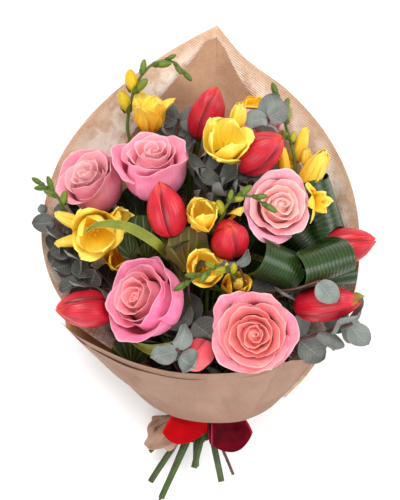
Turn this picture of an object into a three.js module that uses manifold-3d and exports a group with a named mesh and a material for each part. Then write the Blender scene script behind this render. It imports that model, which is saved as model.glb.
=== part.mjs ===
// A hand-tied mixed bouquet of roses, tulips and freesias with eucalyptus, folded aspidistra and
// galax leaves, in a kraft-paper wrap with a red ribbon, lying on its back on a table.
// Millimetres. +Z points up from the table, +Y from the cut stems to the flowers. The origin is
// on the table, on the flat spot of the wrap that the bouquet rests on.

import * as THREE from "three";
import { mergeVertices } from "three/addons/utils/BufferGeometryUtils.js";
import Module from "manifold-3d";

const wasm = await Module();
wasm.setup();

const { Vector3, Matrix4 } = THREE;
const { lerp, clamp, degToRad, smoothstep } = THREE.MathUtils;

// ---- Driving dimensions ----

const PAPER = 0.8; // thickness of every sheet of paper
const BLADE = 0.9; // thickness of petals and leaves
const SATIN = 0.8; // thickness of the ribbon
const GAP = 0.35; // clearance between pieces that touch
const TIE = new Vector3(2, -136, 24); // middle of the binding point
const GOLDEN = degToRad(137.508); // turn from one petal or leaf to the next

const RING_SIDES = 14; // flats of the twine and of the ribbon round the tie
const WRAP_COLUMNS = 18; // flats round the wrap
const COLLAR = 7.5; // half the length over which the wrap is drawn tight
const TWINE = 1.5; // thickness of the twine that ties the stems
const TURN_SHARE = 0.94; // share of a full turn that the wrap makes round the tie
const STEMS = {
  rose: { radius: 2.8, sides: 5 },
  tulip: { radius: 2.8, sides: 5 },
  freesia: { radius: 1.8, sides: 4 },
  eucalyptus: { radius: 1.4, sides: 4 },
  aspidistra: { radius: 1.6, sides: 4 },
  galax: { radius: 1.1, sides: 4 },
  branch: { radius: 1.3, sides: 4 },
};

// Flower heads, nearest to the viewer first. at is the middle of the head, faces the way it
// looks, radius and length its size, and end the cut end of its stem where that is in view.
const ROSES = {
  rose_front: { color: "#ee7f8a", at: [44, -68, 118], faces: [-0.12, 0.02, 1], radius: 37, length: 46, petals: 7, end: [19, -199, 34] },
  rose_left: { color: "#e5728f", at: [-43, -42, 108], faces: [-0.35, 0.12, 1], radius: 38, length: 48, petals: 7, end: [-3, -187, 24] },
  rose_right: { color: "#f6a2a6", at: [64, 35, 92], faces: [0.12, 0.15, 1], radius: 30, length: 44, petals: 6 },
  rose_top: { color: "#ee86a6", at: [-40, 68, 84], faces: [-0.03, 0.72, 0.68], radius: 34, length: 50, petals: 6 },
  rose_far_left: { color: "#d9808f", at: [-90, 53, 66], faces: [-0.4, 0.6, 0.68], radius: 32, length: 46, petals: 6 },
  rose_back: { color: "#e3979c", at: [44, 100, 50], faces: [0.1, 0.75, 0.65], radius: 24, length: 40, petals: 5 },
};
const TULIPS = {
  tulip_bottom: {
    color: "#f06a70",
    at: [-2, -87, 108],
    faces: [-0.35, -0.4, 0.85],
    radius: 13,
    length: 38,
    leaves: [{ from: 2, points: [[-6, -74, 86], [-22, -81, 96], [-40, -82, 97], [-57, -76, 88]], width: 12 }],
  },
  tulip_heart: { color: "#dc2f3d", at: [24, 10, 114], faces: [0.02, 0.42, 0.9], radius: 17, length: 44, end: [-8, -186, 36] },
  tulip_centre: {
    color: "#dc2f3d",
    at: [-28, 34, 120],
    faces: [-0.2, 0.83, 0.52],
    radius: 17,
    length: 50,
    end: [-34, -213, 32],
    leaves: [{ from: 2, points: [[-34, 2, 110], [-48, 16, 117], [-66, 24, 118], [-86, 20, 116], [-94, 12, 110]], width: 11 }],
  },
  tulip_upper_right: { color: "#e23a44", at: [49, 81, 101], faces: [0.72, 0.42, 0.55], radius: 18, length: 50 },
  tulip_lower_left: { color: "#e5394b", at: [-96, -49, 90], faces: [-0.92, 0.02, 0.4], radius: 17, length: 50, end: [-48, -197, 14] },
  tulip_lower_right: { color: "#d92f3a", at: [105, -44, 94], faces: [0.93, 0.08, 0.35], radius: 16, length: 58 },
  tulip_right: { color: "#d92a3a", at: [124, 3, 72], faces: [0.93, 0.2, 0.3], radius: 17, length: 50 },
  tulip_top: { color: "#d9303f", at: [7, 116, 60], faces: [0.3, 0.85, 0.43], radius: 16, length: 50 },
};

// Freesia sprays: the flowers, and the bent tip of the spray with its row of buds.
const FREESIAS = {
  freesia_heart: {
    flowers: [{ at: [1, 30, 124], faces: [-0.1, 0.5, 0.85], radius: 15 }],
    tip: [[8, 34, 116], [20, 37, 124], [36, 41, 130], [56, 37, 132]],
    buds: 5,
  },
  freesia_crown: {
    flowers: [{ at: [21, 88, 116], faces: [-0.1, 0.2, 0.97], radius: 20 }],
    tip: [[26, 98, 98], [29, 108, 103], [30, 114, 110]],
    buds: 2,
  },
  freesia_lower: {
    flowers: [{ at: [3, -19, 114], faces: [0, 0.1, 1], radius: 16 }, { at: [29, -30, 98], faces: [0.2, 0.3, 0.93], radius: 13 }],
    tip: [[16, -24, 100], [20, -17, 118], [8, -16, 128], [-16, -24, 132]],
    buds: 5,
  },
  freesia_left: {
    flowers: [{ at: [-84, 17, 100], faces: [0.05, 0.1, 1], radius: 20 }],
    tip: [[-92, 14, 84], [-104, 26, 94], [-112, 42, 96], [-122, 54, 92]],
    buds: 5,
    end: [-38, -179, 30],
  },
  freesia_right: {
    flowers: [{ at: [98, 72, 76], faces: [0.45, 0.72, 0.52], radius: 17 }, { at: [85, 94, 66], faces: [0.25, 0.86, 0.42], radius: 14 }],
    tip: [[82, 62, 66], [80, 84, 76], [74, 106, 76], [66, 124, 72]],
    buds: 5,
  },
  freesia_top_left: {
    flowers: [{ at: [-40, 117, 58], faces: [0.15, 0.9, 0.4], radius: 16 }],
    tip: [[-60, 104, 52], [-58, 132, 58], [-47, 152, 62], [-28, 164, 62], [-10, 151, 60]],
    buds: 7,
  },
  freesia_inner_left: { flowers: [{ at: [-69, -8, 74], faces: [0.1, 0.2, 0.95], radius: 13 }], tip: [], buds: 0 },
  freesia_inner_right: { flowers: [{ at: [93, 46, 74], faces: [0.5, 0.35, 0.8], radius: 14 }], tip: [], buds: 0 },
  freesia_back: { flowers: [{ at: [59, 128, 34], faces: [0.1, 0.9, 0.4], radius: 13 }], tip: [], buds: 0 },
};
const FORK = 12; // length of a freesia's stalk above the fork of its spray
const FREESIA_TUBE = 24; // length of the narrow tube under a freesia flower

// Eucalyptus: the top of each twig, from its tip down, with leaves in pairs along it.
const EUCALYPTUS = {
  eucalyptus_upper_right: { twig: [[62, 112, 82], [61, 98, 74], [60, 80, 64]], pairs: 2, leaf: 15 },
  eucalyptus_lower_right: { twig: [[126, -61, 90], [112, -66, 84], [92, -73, 70]], pairs: 3, leaf: 15, end: [31, -193, 28] },
  eucalyptus_bottom: { twig: [[-26, -87, 122], [-14, -74, 116], [-8, -62, 98]], pairs: 2, leaf: 15 },
  eucalyptus_left: { twig: [[-122, 26, 78], [-110, 4, 74], [-90, -24, 64]], pairs: 4, leaf: 13, end: [-35, -217, 20] },
  eucalyptus_top: { twig: [[-18, 112, 46], [-21, 92, 38], [-22, 66, 32]], pairs: 3, leaf: 16 },
  eucalyptus_low_right: { twig: [[88, -36, 66], [76, -43, 60], [62, -56, 50]], pairs: 3, leaf: 13 },
};

// Aspidistra leaves rolled into loops: the middle of the roll, the way its axis runs, its radius,
// the width of the leaf and the turn at which it leaves the roll.
const ASPIDISTRA = {
  aspidistra_inner: { at: [61, -6, 100], axis: [0.92, -0.32, 0.12], radius: 15, width: 38 },
  aspidistra_outer: { at: [105, -10, 95], axis: [0.96, 0.22, -0.05], radius: 14, width: 42 },
  aspidistra_back: { at: [105, 23.5, 57], axis: [0.85, -0.35, 0.2], radius: 12, width: 31 },
};

// Galax leaves: middle of the blade, the way it faces and its radius.
const GALAX = {
  galax_olive: { at: [-9, 0, 111], faces: [0.15, -0.2, 1], radius: 16 },
  galax_green: { at: [-46, 10, 97], faces: [-0.2, -0.45, 1], radius: 16 },
  galax_low: { at: [-16, -15, 102], faces: [0.1, -0.2, 1], radius: 12 },
};

// The rim of the wrap, from its peak down each side.
const RIM_LEFT = [
  [15, 196, 14], [-17, 178, 20], [-56, 151, 29], [-96, 113, 39],
  [-122, 72, 50], [-134, 17, 60], [-126, -24, 65], [-101, -66, 64],
];
const RIM_RIGHT = [
  [15, 196, 14], [39, 167, 19], [78, 136, 28], [110, 97, 38],
  [130, 51, 48], [135, 0, 58], [127, -46, 61], [92, -105, 50], [73, -126, 42],
];
// The gathered end of the wrap below the tie, once round from front to front by way of the left.
const TAIL = [
  [-8, -152, 43], [-26, -172, 38], [-50, -168, 27], [-50, -146, 14], [-14, -151, 2],
  [4, -150, 1.6], [21, -148, 8], [27, -147, 26], [10, -148, 43],
];
// The cuff across the front: its top and bottom edges, from left to right.
const CUFF_TOP = [
  [-114, -66, 56], [-99, -78, 68], [-79, -88, 80], [-50, -99, 92], [-17, -106, 98],
  [18, -107, 98], [50, -103, 94], [76, -92, 82],
];
const CUFF_BOTTOM = [
  [-56, -121, 34], [-42, -132, 46], [-24, -140, 58], [-4, -144, 66], [16, -145, 69],
  [34, -144, 65], [50, -139, 57], [60, -134, 49],
];
const RIBBON = {
  left: { way: [-0.45, -0.88, -0.02], start: 0, reach: 29, rise: 3.2, width: 34, lean: 0 },
  right: { way: [0.78, -0.62, -0.02], start: 13.5, reach: 33, rise: 4.5, width: 27, lean: 0.3 },
};
const CUFF_HEM = 1.13; // height of the cuff's inner fold, as a share of the cuff's own

const COLORS = {
  roseStem: "#55653f",
  tulipStem: "#7da23c",
  freesia: "#f6c716",
  eucalyptus: "#84938c",
  aspidistra: "#2f5a28",
  galax: "#77752f",
  kraft: "#d9b795",
  lining: "#c39a7c",
  cuff: "#bf9c87",
  twine: "#b99a6a",
  ribbon: "#cf0012",
  ribbonBack: "#8a0a22",
};

const vec = ([x, y, z]) => new Vector3(x, y, z);
const direction = (values) => vec(values).normalize();

// ---- Solids ----

// The closed solid of a geometry: shared points are merged and empty faces dropped.
function solidOf(geometry) {
  const bare = new THREE.BufferGeometry();
  bare.setAttribute("position", geometry.getAttribute("position"));
  bare.setIndex(geometry.index);
  const merged = mergeVertices(bare, 1e-4);
  const corners = [];
  for (let i = 0; i < merged.index.count; i += 3) {
    const [a, b, c] = merged.index.array.subarray(i, i + 3);
    if (a !== b && b !== c && c !== a) corners.push(a, b, c);
  }
  const solid = new wasm.Manifold(
    new wasm.Mesh({
      numProp: 3,
      vertProperties: merged.attributes.position.array,
      triVerts: new Uint32Array(corners),
    }),
  );
  if (solid.volume() > 0) return solid;
  for (let i = 0; i < corners.length; i += 3) [corners[i], corners[i + 1]] = [corners[i + 1], corners[i]];
  return new wasm.Manifold(
    new wasm.Mesh({
      numProp: 3,
      vertProperties: merged.attributes.position.array,
      triVerts: new Uint32Array(corners),
    }),
  );
}

// Solids joined into one body. Scraps that the join leaves loose are dropped.
function joined(solids) {
  const parts = wasm.Manifold.union(solids).decompose();
  return parts.sort((a, b) => b.volume() - a.volume())[0];
}

function geometryOf(solid) {
  const { vertProperties, triVerts, numProp } = solid.getMesh();
  const points = new Float32Array((vertProperties.length / numProp) * 3);
  for (let i = 0; i < points.length / 3; i += 1)
    points.set(vertProperties.subarray(i * numProp, i * numProp + 3), i * 3);
  const geometry = new THREE.BufferGeometry();
  geometry.setAttribute("position", new THREE.BufferAttribute(points, 3));
  geometry.setIndex(new THREE.BufferAttribute(triVerts, 1));
  geometry.computeVertexNormals();
  return geometry;
}

// A closed blade. surface(s, v) gives its middle, for s from -1 to 1 across and v from 0 to 1
// along. Both faces are split along the same diagonals.
function blade(surface, across, along, thickness) {
  const rows = along + 1;
  const columns = across + 1;
  const middle = [];
  for (let j = 0; j < rows; j += 1)
    for (let i = 0; i < columns; i += 1) middle.push(surface((2 * i) / across - 1, j / along));
  const at = (i, j) => middle[clamp(j, 0, along) * columns + clamp(i, 0, across)];
  const points = [];
  for (const side of [0.5, -0.5])
    for (let j = 0; j < rows; j += 1)
      for (let i = 0; i < columns; i += 1) {
        const wide = at(i + 1, j).clone().sub(at(i - 1, j));
        const long = at(i, j + 1).clone().sub(at(i, j - 1));
        const normal = wide.cross(long).normalize();
        points.push(...at(i, j).clone().addScaledVector(normal, side * thickness).toArray());
      }
  const index = [];
  const lower = rows * columns;
  for (let j = 0; j < along; j += 1)
    for (let i = 0; i < across; i += 1) {
      const a = j * columns + i;
      const [b, c, d] = [a + 1, a + columns + 1, a + columns];
      index.push(a, b, c, a, c, d);
      index.push(lower + a, lower + c, lower + b, lower + a, lower + d, lower + c);
    }
  const edge = (a, b) => index.push(a, lower + b, b, a, lower + a, lower + b);
  for (let i = 0; i < across; i += 1) {
    edge(i, i + 1);
    edge(along * columns + i + 1, along * columns + i);
  }
  for (let j = 0; j < along; j += 1) {
    edge((j + 1) * columns, j * columns);
    edge(j * columns + across, (j + 1) * columns + across);
  }
  const geometry = new THREE.BufferGeometry();
  geometry.setAttribute("position", new THREE.Float32BufferAttribute(points, 3));
  geometry.setIndex(index);
  return solidOf(geometry);
}

// A path of straight runs from point to point, whose parameter counts the points.
class PointPath extends THREE.Curve {
  constructor(points) {
    super();
    this.points = points;
  }

  getPoint(t) {
    const place = t * (this.points.length - 1);
    const run = Math.min(Math.floor(place), this.points.length - 2);
    return this.points[run].clone().lerp(this.points[run + 1], place - run);
  }

  getUtoTmapping(u) {
    return u;
  }
}

// A round stem through the points, with a section at each of them.
function stemSolid(points, radius, sides) {
  const section = new THREE.Shape();
  for (let i = 0; i < sides; i += 1) {
    const turn = (i / sides) * 2 * Math.PI;
    const draw = i === 0 ? "moveTo" : "lineTo";
    section[draw](radius * Math.cos(turn), radius * Math.sin(turn));
  }
  const extrudePath = new PointPath(points);
  return solidOf(new THREE.ExtrudeGeometry(section, { steps: points.length - 1, extrudePath }));
}

// A turned solid on the local Z axis. The profile is a list of [radius, height]. reshape may move
// each of its points, given the point, its place round the axis and its place in the profile.
function turned(profile, sides, place, reshape = () => {}) {
  const outline = profile.map(([radius, height]) => new THREE.Vector2(radius, height));
  const geometry = new THREE.LatheGeometry(outline, sides).rotateX(Math.PI / 2);
  const positions = geometry.getAttribute("position");
  for (let i = 0; i < positions.count; i += 1) {
    const point = new Vector3().fromBufferAttribute(positions, i);
    reshape(point, Math.floor(i / profile.length) % sides, i % profile.length);
    positions.setXYZ(i, ...point.applyMatrix4(place).toArray());
  }
  return solidOf(geometry);
}

// ---- Places and the room that heads need ----

// The frame of a piece at a point, with local Z along its facing and local Y as near up the
// picture as it goes.
function placeOf(at, faces) {
  const z = direction(faces);
  const x = new Vector3(0, 1, 0).cross(z).normalize();
  return new Matrix4().makeBasis(x, z.clone().cross(x), z).setPosition(vec(at));
}

// Each head claims an egg-shaped room that other pieces stay out of.
const rooms = [];

function claimRoom(owner, at, faces, across, along) {
  rooms.push({ owner, middle: vec(at), axis: direction(faces), across, along });
}

function depthIn(room, point, margin) {
  const offset = point.clone().sub(room.middle);
  const high = offset.dot(room.axis);
  const wide = Math.sqrt(Math.max(offset.lengthSq() - high * high, 0));
  return Math.hypot(wide / (room.across + margin), high / (room.along + margin));
}

// The point moved straight out of the rooms that it is in.
function pushedClear(point, others, margin) {
  for (const room of others) {
    const depth = Math.max(depthIn(room, point, margin), 0.2);
    if (depth < 1) point.sub(room.middle).divideScalar(depth).add(room.middle);
  }
  return point;
}

const roomsBefore = (owner) => rooms.slice(0, rooms.findIndex((room) => room.owner === owner));
const roomsOfOthers = (owner) => rooms.filter((room) => room.owner !== owner);

for (const [name, rose] of Object.entries(ROSES)) {
  claimRoom(name, rose.at, rose.faces, rose.radius, rose.length / 2 + 1);
  const hip = vec(rose.at).addScaledVector(direction(rose.faces), -rose.length / 2 - 5);
  claimRoom(name, hip.toArray(), rose.faces, 13, 7);
}
for (const [name, tulip] of Object.entries(TULIPS))
  claimRoom(name, tulip.at, tulip.faces, tulip.radius + 0.5, tulip.length / 2 + 1);
for (const [name, spray] of Object.entries(FREESIAS))
  for (const flower of spray.flowers)
    claimRoom(name, flower.at, flower.faces, flower.radius, flower.radius * 0.5);
for (const [name, roll] of Object.entries(ASPIDISTRA))
  claimRoom(name, roll.at, roll.axis, roll.radius * 1.15, roll.width * 0.6);

// ---- Flowers ----

// A point of a cubic curve through a [radius, height] profile.
function along4([a, b, c, d], v) {
  const w = 1 - v;
  const mix = (k) => w ** 3 * a[k] + 3 * w * w * v * b[k] + 3 * w * v * v * c[k] + v ** 3 * d[k];
  return [mix(0), mix(1)];
}

const around = (radius, turn, height) => new Vector3(radius * Math.cos(turn), radius * Math.sin(turn), height);

// Rose petals stand in a cup round a closed heart, in a golden-angle spiral. The outer ones are
// wider and lower, and rolled back at the rim.
function rosePetal({ radius, length, petals }, i) {
  const out = i / (petals - 1);
  const turn = i * GOLDEN;
  const half = degToRad(lerp(72, 50, out));
  const rim = radius * lerp(0.4, 0.94, out);
  const foot = -0.38 * length;
  const top = length * (0.5 - 0.22 * out * out);
  const profile = [
    [radius * lerp(0.25, 0.53, out), foot],
    [rim * 1.04, foot + 0.04 * length],
    [rim * 0.94, lerp(foot, top, 0.66)],
    [rim, top],
  ];
  return (s, v) => {
    const [wide, height] = along4(profile, v);
    const rolled = smoothstep(v, 0.6, 1) * out;
    const drop = length * v * (0.1 * s ** 4 + 0.05 * rolled);
    return around(wide + radius * (0.06 * rolled + 0.03 * s * v), turn + s * half, height - drop);
  };
}

function roseBloom(name, rose) {
  const place = placeOf(rose.at, rose.faces);
  const others = roomsBefore(name);
  const { radius, length } = rose;
  const heart = [
    [0, -0.5], [0.34, -0.49], [0.6, -0.4], [0.52, -0.35], [0.2, -0.34], [0.31, 0.12], [0.2, 0.42], [0, 0.46],
  ];
  const profile = heart.map(([wide, high]) => [wide * radius, high * length]);
  const solids = [turned(profile, 7, place)];
  for (let i = 0; i < rose.petals; i += 1) {
    const petal = rosePetal(rose, i);
    const surface = (s, v) => pushedClear(petal(s, v).applyMatrix4(place), others, BLADE / 2 + GAP);
    solids.push(blade(surface, i < 3 ? 3 : 4, 2, BLADE));
  }
  return joined(solids);
}

// The green under a rose: the swollen hip with five pointed sepals bent back from it.
function roseHip(rose, place) {
  const foot = -rose.length / 2 - GAP;
  const profile = [[0, foot], [4.8, foot], [13, foot - 4.6], [12, foot - 6], [2.6, foot - 9], [0, foot - 9]];
  return turned(profile, 10, place, (point, i, level) => {
    if (i % 2 === 0 || level < 2 || level > 3) return;
    point.set(point.x * 0.38, point.y * 0.38, point.z + 2.4);
  });
}

// A tulip is an egg of three inner petals with three outer petals lying over their seams.
const tulipProfile = (radius, length) => [
  [radius * 0.1, -length / 2], [radius * 1.3, -length * 0.46], [radius * 1.12, length * 0.16], [radius * 0.2, length / 2],
];

function tulipBloom(name, tulip) {
  const place = placeOf(tulip.at, tulip.faces);
  const others = roomsBefore(name);
  const { radius, length } = tulip;
  const inner = tulipProfile(radius * 0.84, length * 0.96);
  const levels = [0.02, 1 / 3, 2 / 3, 1].map((v) => along4(inner, v));
  const solids = [turned([[0, levels[0][1]], ...levels, [0, levels[3][1] - 1]], 9, place)];
  for (let i = 0; i < 3; i += 1) {
    const turn = (i / 3) * 2 * Math.PI + Math.PI / 2;
    const petal = (s, v) => {
      const [wide, height] = along4(tulipProfile(radius, length - 2), v);
      const half = degToRad(59) * (1 - v ** 5 * 0.68);
      const point = around(wide + radius * 0.12 * v ** 3, turn + s * half, height - 1.5 * s * s * v);
      return pushedClear(point.applyMatrix4(place), others, BLADE / 2 + GAP);
    };
    solids.push(blade(petal, 3, 3, BLADE));
  }
  return joined(solids);
}

// A freesia flower: a narrow tube that opens into six petals, three of them a little over the rest.
function freesiaFlower(name, flower) {
  const place = placeOf(flower.at, flower.faces);
  const others = roomsBefore(name);
  const { radius } = flower;
  const throat = -radius * 0.45;
  const foot = throat - FREESIA_TUBE + 6;
  const rim = radius * 0.22;
  const profile = [
    [0, foot], [1.9, foot], [radius * 0.3, throat], [radius, rim],
    [radius * 0.92, rim + 1.3], [radius * 0.24, throat + 1.8], [0, throat + 1.4],
  ];
  return turned(profile, 12, place, (point, i, level) => {
    if (level !== 3 && level !== 4) return;
    const shrink = i % 2 ? 0.74 : i % 4 ? 0.94 : 1;
    const lift = i % 2 ? -0.06 : i % 4 ? 0.12 : 0;
    point.set(point.x * shrink, point.y * shrink, point.z + lift * radius);
    const clear = pushedClear(point.clone().applyMatrix4(place), others, BLADE + GAP);
    point.copy(clear.applyMatrix4(place.clone().invert()));
  });
}

const freesiaFoot = (flower) => {
  const reach = flower.radius * 0.45 + FREESIA_TUBE - 6;
  return vec(flower.at).addScaledVector(direction(flower.faces), -reach);
};

// The bent tip of a freesia spray, from the foot of its first flower.
const tipLine = (spray) =>
  new THREE.CatmullRomCurve3([freesiaFoot(spray.flowers[0]), ...spray.tip.map(vec)]);

// The buds sit on alternate sides of the tip and grow smaller to its end.
function freesiaBuds(spray) {
  const line = tipLine(spray);
  const solids = [];
  for (let i = 0; i < spray.buds; i += 1) {
    const t = lerp(0.35, 1, (i + 1) / spray.buds);
    const size = lerp(1, 0.5, t);
    const tangent = line.getTangent(t);
    const side = new Vector3(0, 0, 1).cross(tangent).setLength(t < 1 ? 1 - 2 * (i % 2) : 1e-6);
    const faces = tangent.clone().multiplyScalar(1.3).add(side).add(new Vector3(0, 0, 0.3));
    const place = placeOf(line.getPoint(t).toArray(), faces.toArray());
    solids.push(turned([[0, -1], [3 * size, 6 * size], [0, 15 * size]], 4, place));
  }
  return solids;
}

// ---- Leaves ----

// An oval leaf blade from its foot, along one way and facing another.
function ovalLeaf(foot, way, faces, length, width, cup, owner) {
  const long = way.clone().normalize();
  const side = long.clone().cross(faces).normalize();
  const normal = side.clone().cross(long);
  const others = roomsOfOthers(owner);
  return blade(
    (s, v) => {
      const half = Math.max((width / 2) * Math.sin(Math.PI * v * 0.93) ** 0.7, 0.5);
      const point = foot.clone().addScaledVector(long, v * length).addScaledVector(side, s * half);
      point.addScaledVector(normal, cup * length * (s * s * 0.5 - Math.sin(Math.PI * v) * 0.6));
      if (v === 0) return point;
      return clearOfStems(pushedClear(point, others, BLADE / 2 + GAP + 1.6), owner);
    },
    2,
    2,
    BLADE,
  );
}

// Eucalyptus leaves sit on the twig in pairs, each pair turned a quarter from the last.
function eucalyptusLeaves(name, twig) {
  const line = new PointPath(twig.twig.map(vec));
  const solids = [];
  for (let pair = 0; pair < twig.pairs; pair += 1) {
    const t = (pair + 0.25) / (twig.pairs + 0.5);
    const tangent = line.getTangent(t).negate();
    const size = twig.leaf * lerp(0.85, 1.15, t);
    for (const hand of [-1, 1]) {
      const out = new Vector3(0, 0, 1).cross(tangent).normalize();
      out.applyAxisAngle(tangent, hand > 0 ? pair * 1.1 : Math.PI + pair * 1.1);
      const way = out.clone().add(tangent.clone().multiplyScalar(0.45));
      const faces = tangent.clone().multiplyScalar(0.5).add(new Vector3(0, 0, 1));
      const foot = line.getPoint(t).addScaledVector(out, 0.5);
      solids.push(ovalLeaf(foot, way, faces, size * 1.7, size * 1.7, 0.12, name));
    }
  }
  return solids;
}

// A round galax leaf with a waved edge.
function galaxSurface(name, leaf) {
  const place = placeOf(leaf.at, leaf.faces);
  const others = roomsOfOthers(name);
  return (s, v) => {
    const reach = leaf.radius * Math.sqrt(1 - (0.92 * (2 * v - 1)) ** 2);
    const wave = 1.6 * Math.sin(3 * s + 7 * v);
    const point = new Vector3(s * reach, leaf.radius * 0.98 * (2 * v - 1), wave * s * s - 3 * (1 - s * s));
    return pushedClear(point.applyMatrix4(place), others, BLADE / 2 + GAP);
  };
}

function galaxBlade(name, leaf) {
  const surface = galaxSurface(name, leaf);
  return blade((s, v) => clearOfStems(surface(s, v), name), 3, 4, BLADE);
}

// A long leaf blade along a curve, with its face turned to the viewer.
function strapLeaf(points, width, owner) {
  const line = new THREE.CatmullRomCurve3(points.map(vec));
  const surface = (s, v) => {
    const side = line.getTangent(v).cross(new Vector3(0, 0, 1)).normalize();
    const half = (width / 2) * Math.max(Math.sin(Math.PI * (0.15 + 0.82 * v)) ** 0.8, 0.12);
    const point = line.getPoint(v).addScaledVector(side, s * half);
    point.z += 0.12 * width * s * s;
    return clearOfStems(pushedClear(point, rooms, BLADE / 2 + GAP + 1), owner);
  };
  return blade(surface, 2, 6, BLADE);
}

// An aspidistra leaf: it rises from its stalk, rolls over in a loop and tucks back in.
function aspidistraSurface(roll) {
  const axis = direction(roll.axis);
  const back = new Vector3(0, 0, 1).cross(axis).normalize();
  const up = axis.clone().cross(back);
  return (s, v) => {
    const turn = degToRad(lerp(-80, 205, v));
    const radius = roll.radius * (1 + 0.18 * (v - 0.5));
    const point = vec(roll.at).addScaledVector(axis, (s * roll.width) / 2);
    return point.addScaledVector(back, -radius * Math.cos(turn)).addScaledVector(up, radius * Math.sin(turn) * 1.15);
  };
}

function aspidistraLoop(name, roll) {
  const surface = aspidistraSurface(roll);
  const others = roomsOfOthers(name);
  const bent = (s, v) => clearOfStems(pushedClear(surface(s, v), others, BLADE / 2 + GAP), name);
  return blade(bent, 2, 10, BLADE);
}

// ---- Stems ----

const SECTIONS_ABOVE = 5; // sections of a stem's sweep from its head to the tie

// Every stem runs from fixed points at its head, through its slot in the tie, to its cut end.
const stems = [];

function addStem(name, kind, fixed, faces, end) {
  stems.push({ name, kind, fixed, faces, end, radius: STEMS[kind].radius, points: fixed });
}

function startStems() {
  for (const [name, rose] of Object.entries(ROSES)) {
    const faces = direction(rose.faces);
    const hip = vec(rose.at).addScaledVector(faces, -rose.length / 2 - GAP - 6);
    addStem(name, "rose", [hip, hip.clone().addScaledVector(faces, -4)], faces, rose.end);
  }
  for (const [name, tulip] of Object.entries(TULIPS)) {
    const faces = direction(tulip.faces);
    const foot = vec(tulip.at).addScaledVector(faces, -tulip.length / 2 - GAP);
    addStem(name, "tulip", [foot, foot.clone().addScaledVector(faces, -5)], faces, tulip.end);
  }
  for (const [name, spray] of Object.entries(FREESIAS)) {
    const [flower] = spray.flowers;
    const faces = direction(flower.faces);
    const foot = freesiaFoot(flower);
    const throat = vec(flower.at).addScaledVector(faces, -flower.radius * 0.5);
    const fork = foot.clone().addScaledVector(faces, -FORK);
    addStem(name, "freesia", [throat, foot, fork], faces, spray.end);
    for (const other of spray.flowers.slice(1)) addStem(name, "branch", [freesiaFoot(other), fork.clone()]);
    if (spray.buds > 0) addStem(name, "branch", tipLine(spray).getPoints(spray.tip.length + 3));
  }
  for (const [name, twig] of Object.entries(EUCALYPTUS)) {
    const points = twig.twig.map(vec);
    const faces = points[1].clone().sub(points[2]).normalize();
    addStem(name, "eucalyptus", points, faces, twig.end);
  }
  for (const [name, roll] of Object.entries(ASPIDISTRA)) {
    const surface = aspidistraSurface(roll);
    const foot = surface(0, 0);
    addStem(name, "aspidistra", [foot], surface(0, 0.1).sub(foot).normalize());
  }
  for (const [name, leaf] of Object.entries(GALAX)) {
    const surface = galaxSurface(name, leaf);
    addStem(name, "galax", [surface(0, 0.2), surface(0, 0)], surface(0, 0.2).sub(surface(0, 0)).normalize());
  }
}

const bundled = () => stems.filter(({ kind }) => kind !== "branch");

// Settles the stems' sections at the tie into one tight round bundle.
function packBundle() {
  const slots = bundled();
  for (const stem of slots) {
    const foot = stem.fixed.at(-1);
    stem.slot = new Vector3(foot.x * 0.16 + TIE.x, TIE.y, TIE.z + (foot.z - 72) * 0.2);
  }
  for (let turn = 0; turn < 1200; turn += 1) {
    const pull = turn < 900 ? 0.99 : 1;
    for (const { slot } of slots) slot.sub(TIE).multiplyScalar(pull).add(TIE);
    slots.forEach((a, i) =>
      slots.slice(i + 1).forEach((b) => {
        const apart = b.slot.clone().sub(a.slot);
        const missing = a.radius + b.radius + GAP - apart.length();
        if (missing <= 0) return;
        apart.setLength(missing / 2 + 0.002);
        a.slot.sub(apart);
        b.slot.add(apart);
      }),
    );
  }
}

// The first course of each stem: a smooth sweep from its head to its slot, then on to its end.
function layStems() {
  for (const stem of bundled()) {
    const foot = stem.fixed.at(-1);
    const [above, below] = [COLLAR, -COLLAR].map((rise) => stem.slot.clone().add(new Vector3(0, rise, 0)));
    const reach = foot.distanceTo(above);
    const headPull = foot.clone().addScaledVector(stem.faces, -reach * 0.28);
    const outward = stem.slot.clone().sub(TIE);
    const tiePull = above.clone().addScaledVector(outward, 0.9).setY(above.y + reach * 0.34);
    const sweep = new THREE.CubicBezierCurve3(foot, headPull, tiePull, above);
    const short = below.clone().addScaledVector(outward, 0.3);
    short.y -= 15 + ((stem.slot.x * 5 + stem.slot.z * 3 + 90) % 8);
    stem.tied = stem.fixed.length - 1 + SECTIONS_ABOVE;
    stem.points = [...stem.fixed, ...sweep.getPoints(SECTIONS_ABOVE).slice(1), below];
    stem.points.push(stem.end ? vec(stem.end) : short);
  }
}

// Nearest points of two straight runs, as shares of their lengths.
function nearest(a0, a1, b0, b1) {
  const [u, v, w] = [a1.clone().sub(a0), b1.clone().sub(b0), a0.clone().sub(b0)];
  const [uu, uv, vv, uw, vw] = [u.dot(u), u.dot(v), v.dot(v), u.dot(w), v.dot(w)];
  const first = clamp((uv * vw - vv * uw) / Math.max(uu * vv - uv * uv, 1e-9), 0, 1);
  const t = clamp((uv * first + vw) / vv, 0, 1);
  return [clamp((uv * t - uw) / uu, 0, 1), t];
}

// Moves two stems apart wherever they come too near.
function partStems(a, b, shift) {
  for (let i = 0; i < a.points.length - 1; i += 1)
    for (let j = 0; j < b.points.length - 1; j += 1) {
      const [s, t] = nearest(a.points[i], a.points[i + 1], b.points[j], b.points[j + 1]);
      const from = a.points[i].clone().lerp(a.points[i + 1], s);
      const apart = b.points[j].clone().lerp(b.points[j + 1], t).sub(from);
      const missing = a.radius + b.radius + GAP - apart.length();
      if (missing <= 0 || apart.length() < 1e-6) continue;
      apart.setLength(missing * 0.6);
      shift(a, i, apart, s - 1);
      shift(a, i + 1, apart, -s);
      shift(b, j, apart, 1 - t);
      shift(b, j + 1, apart, t);
    }
}

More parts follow.
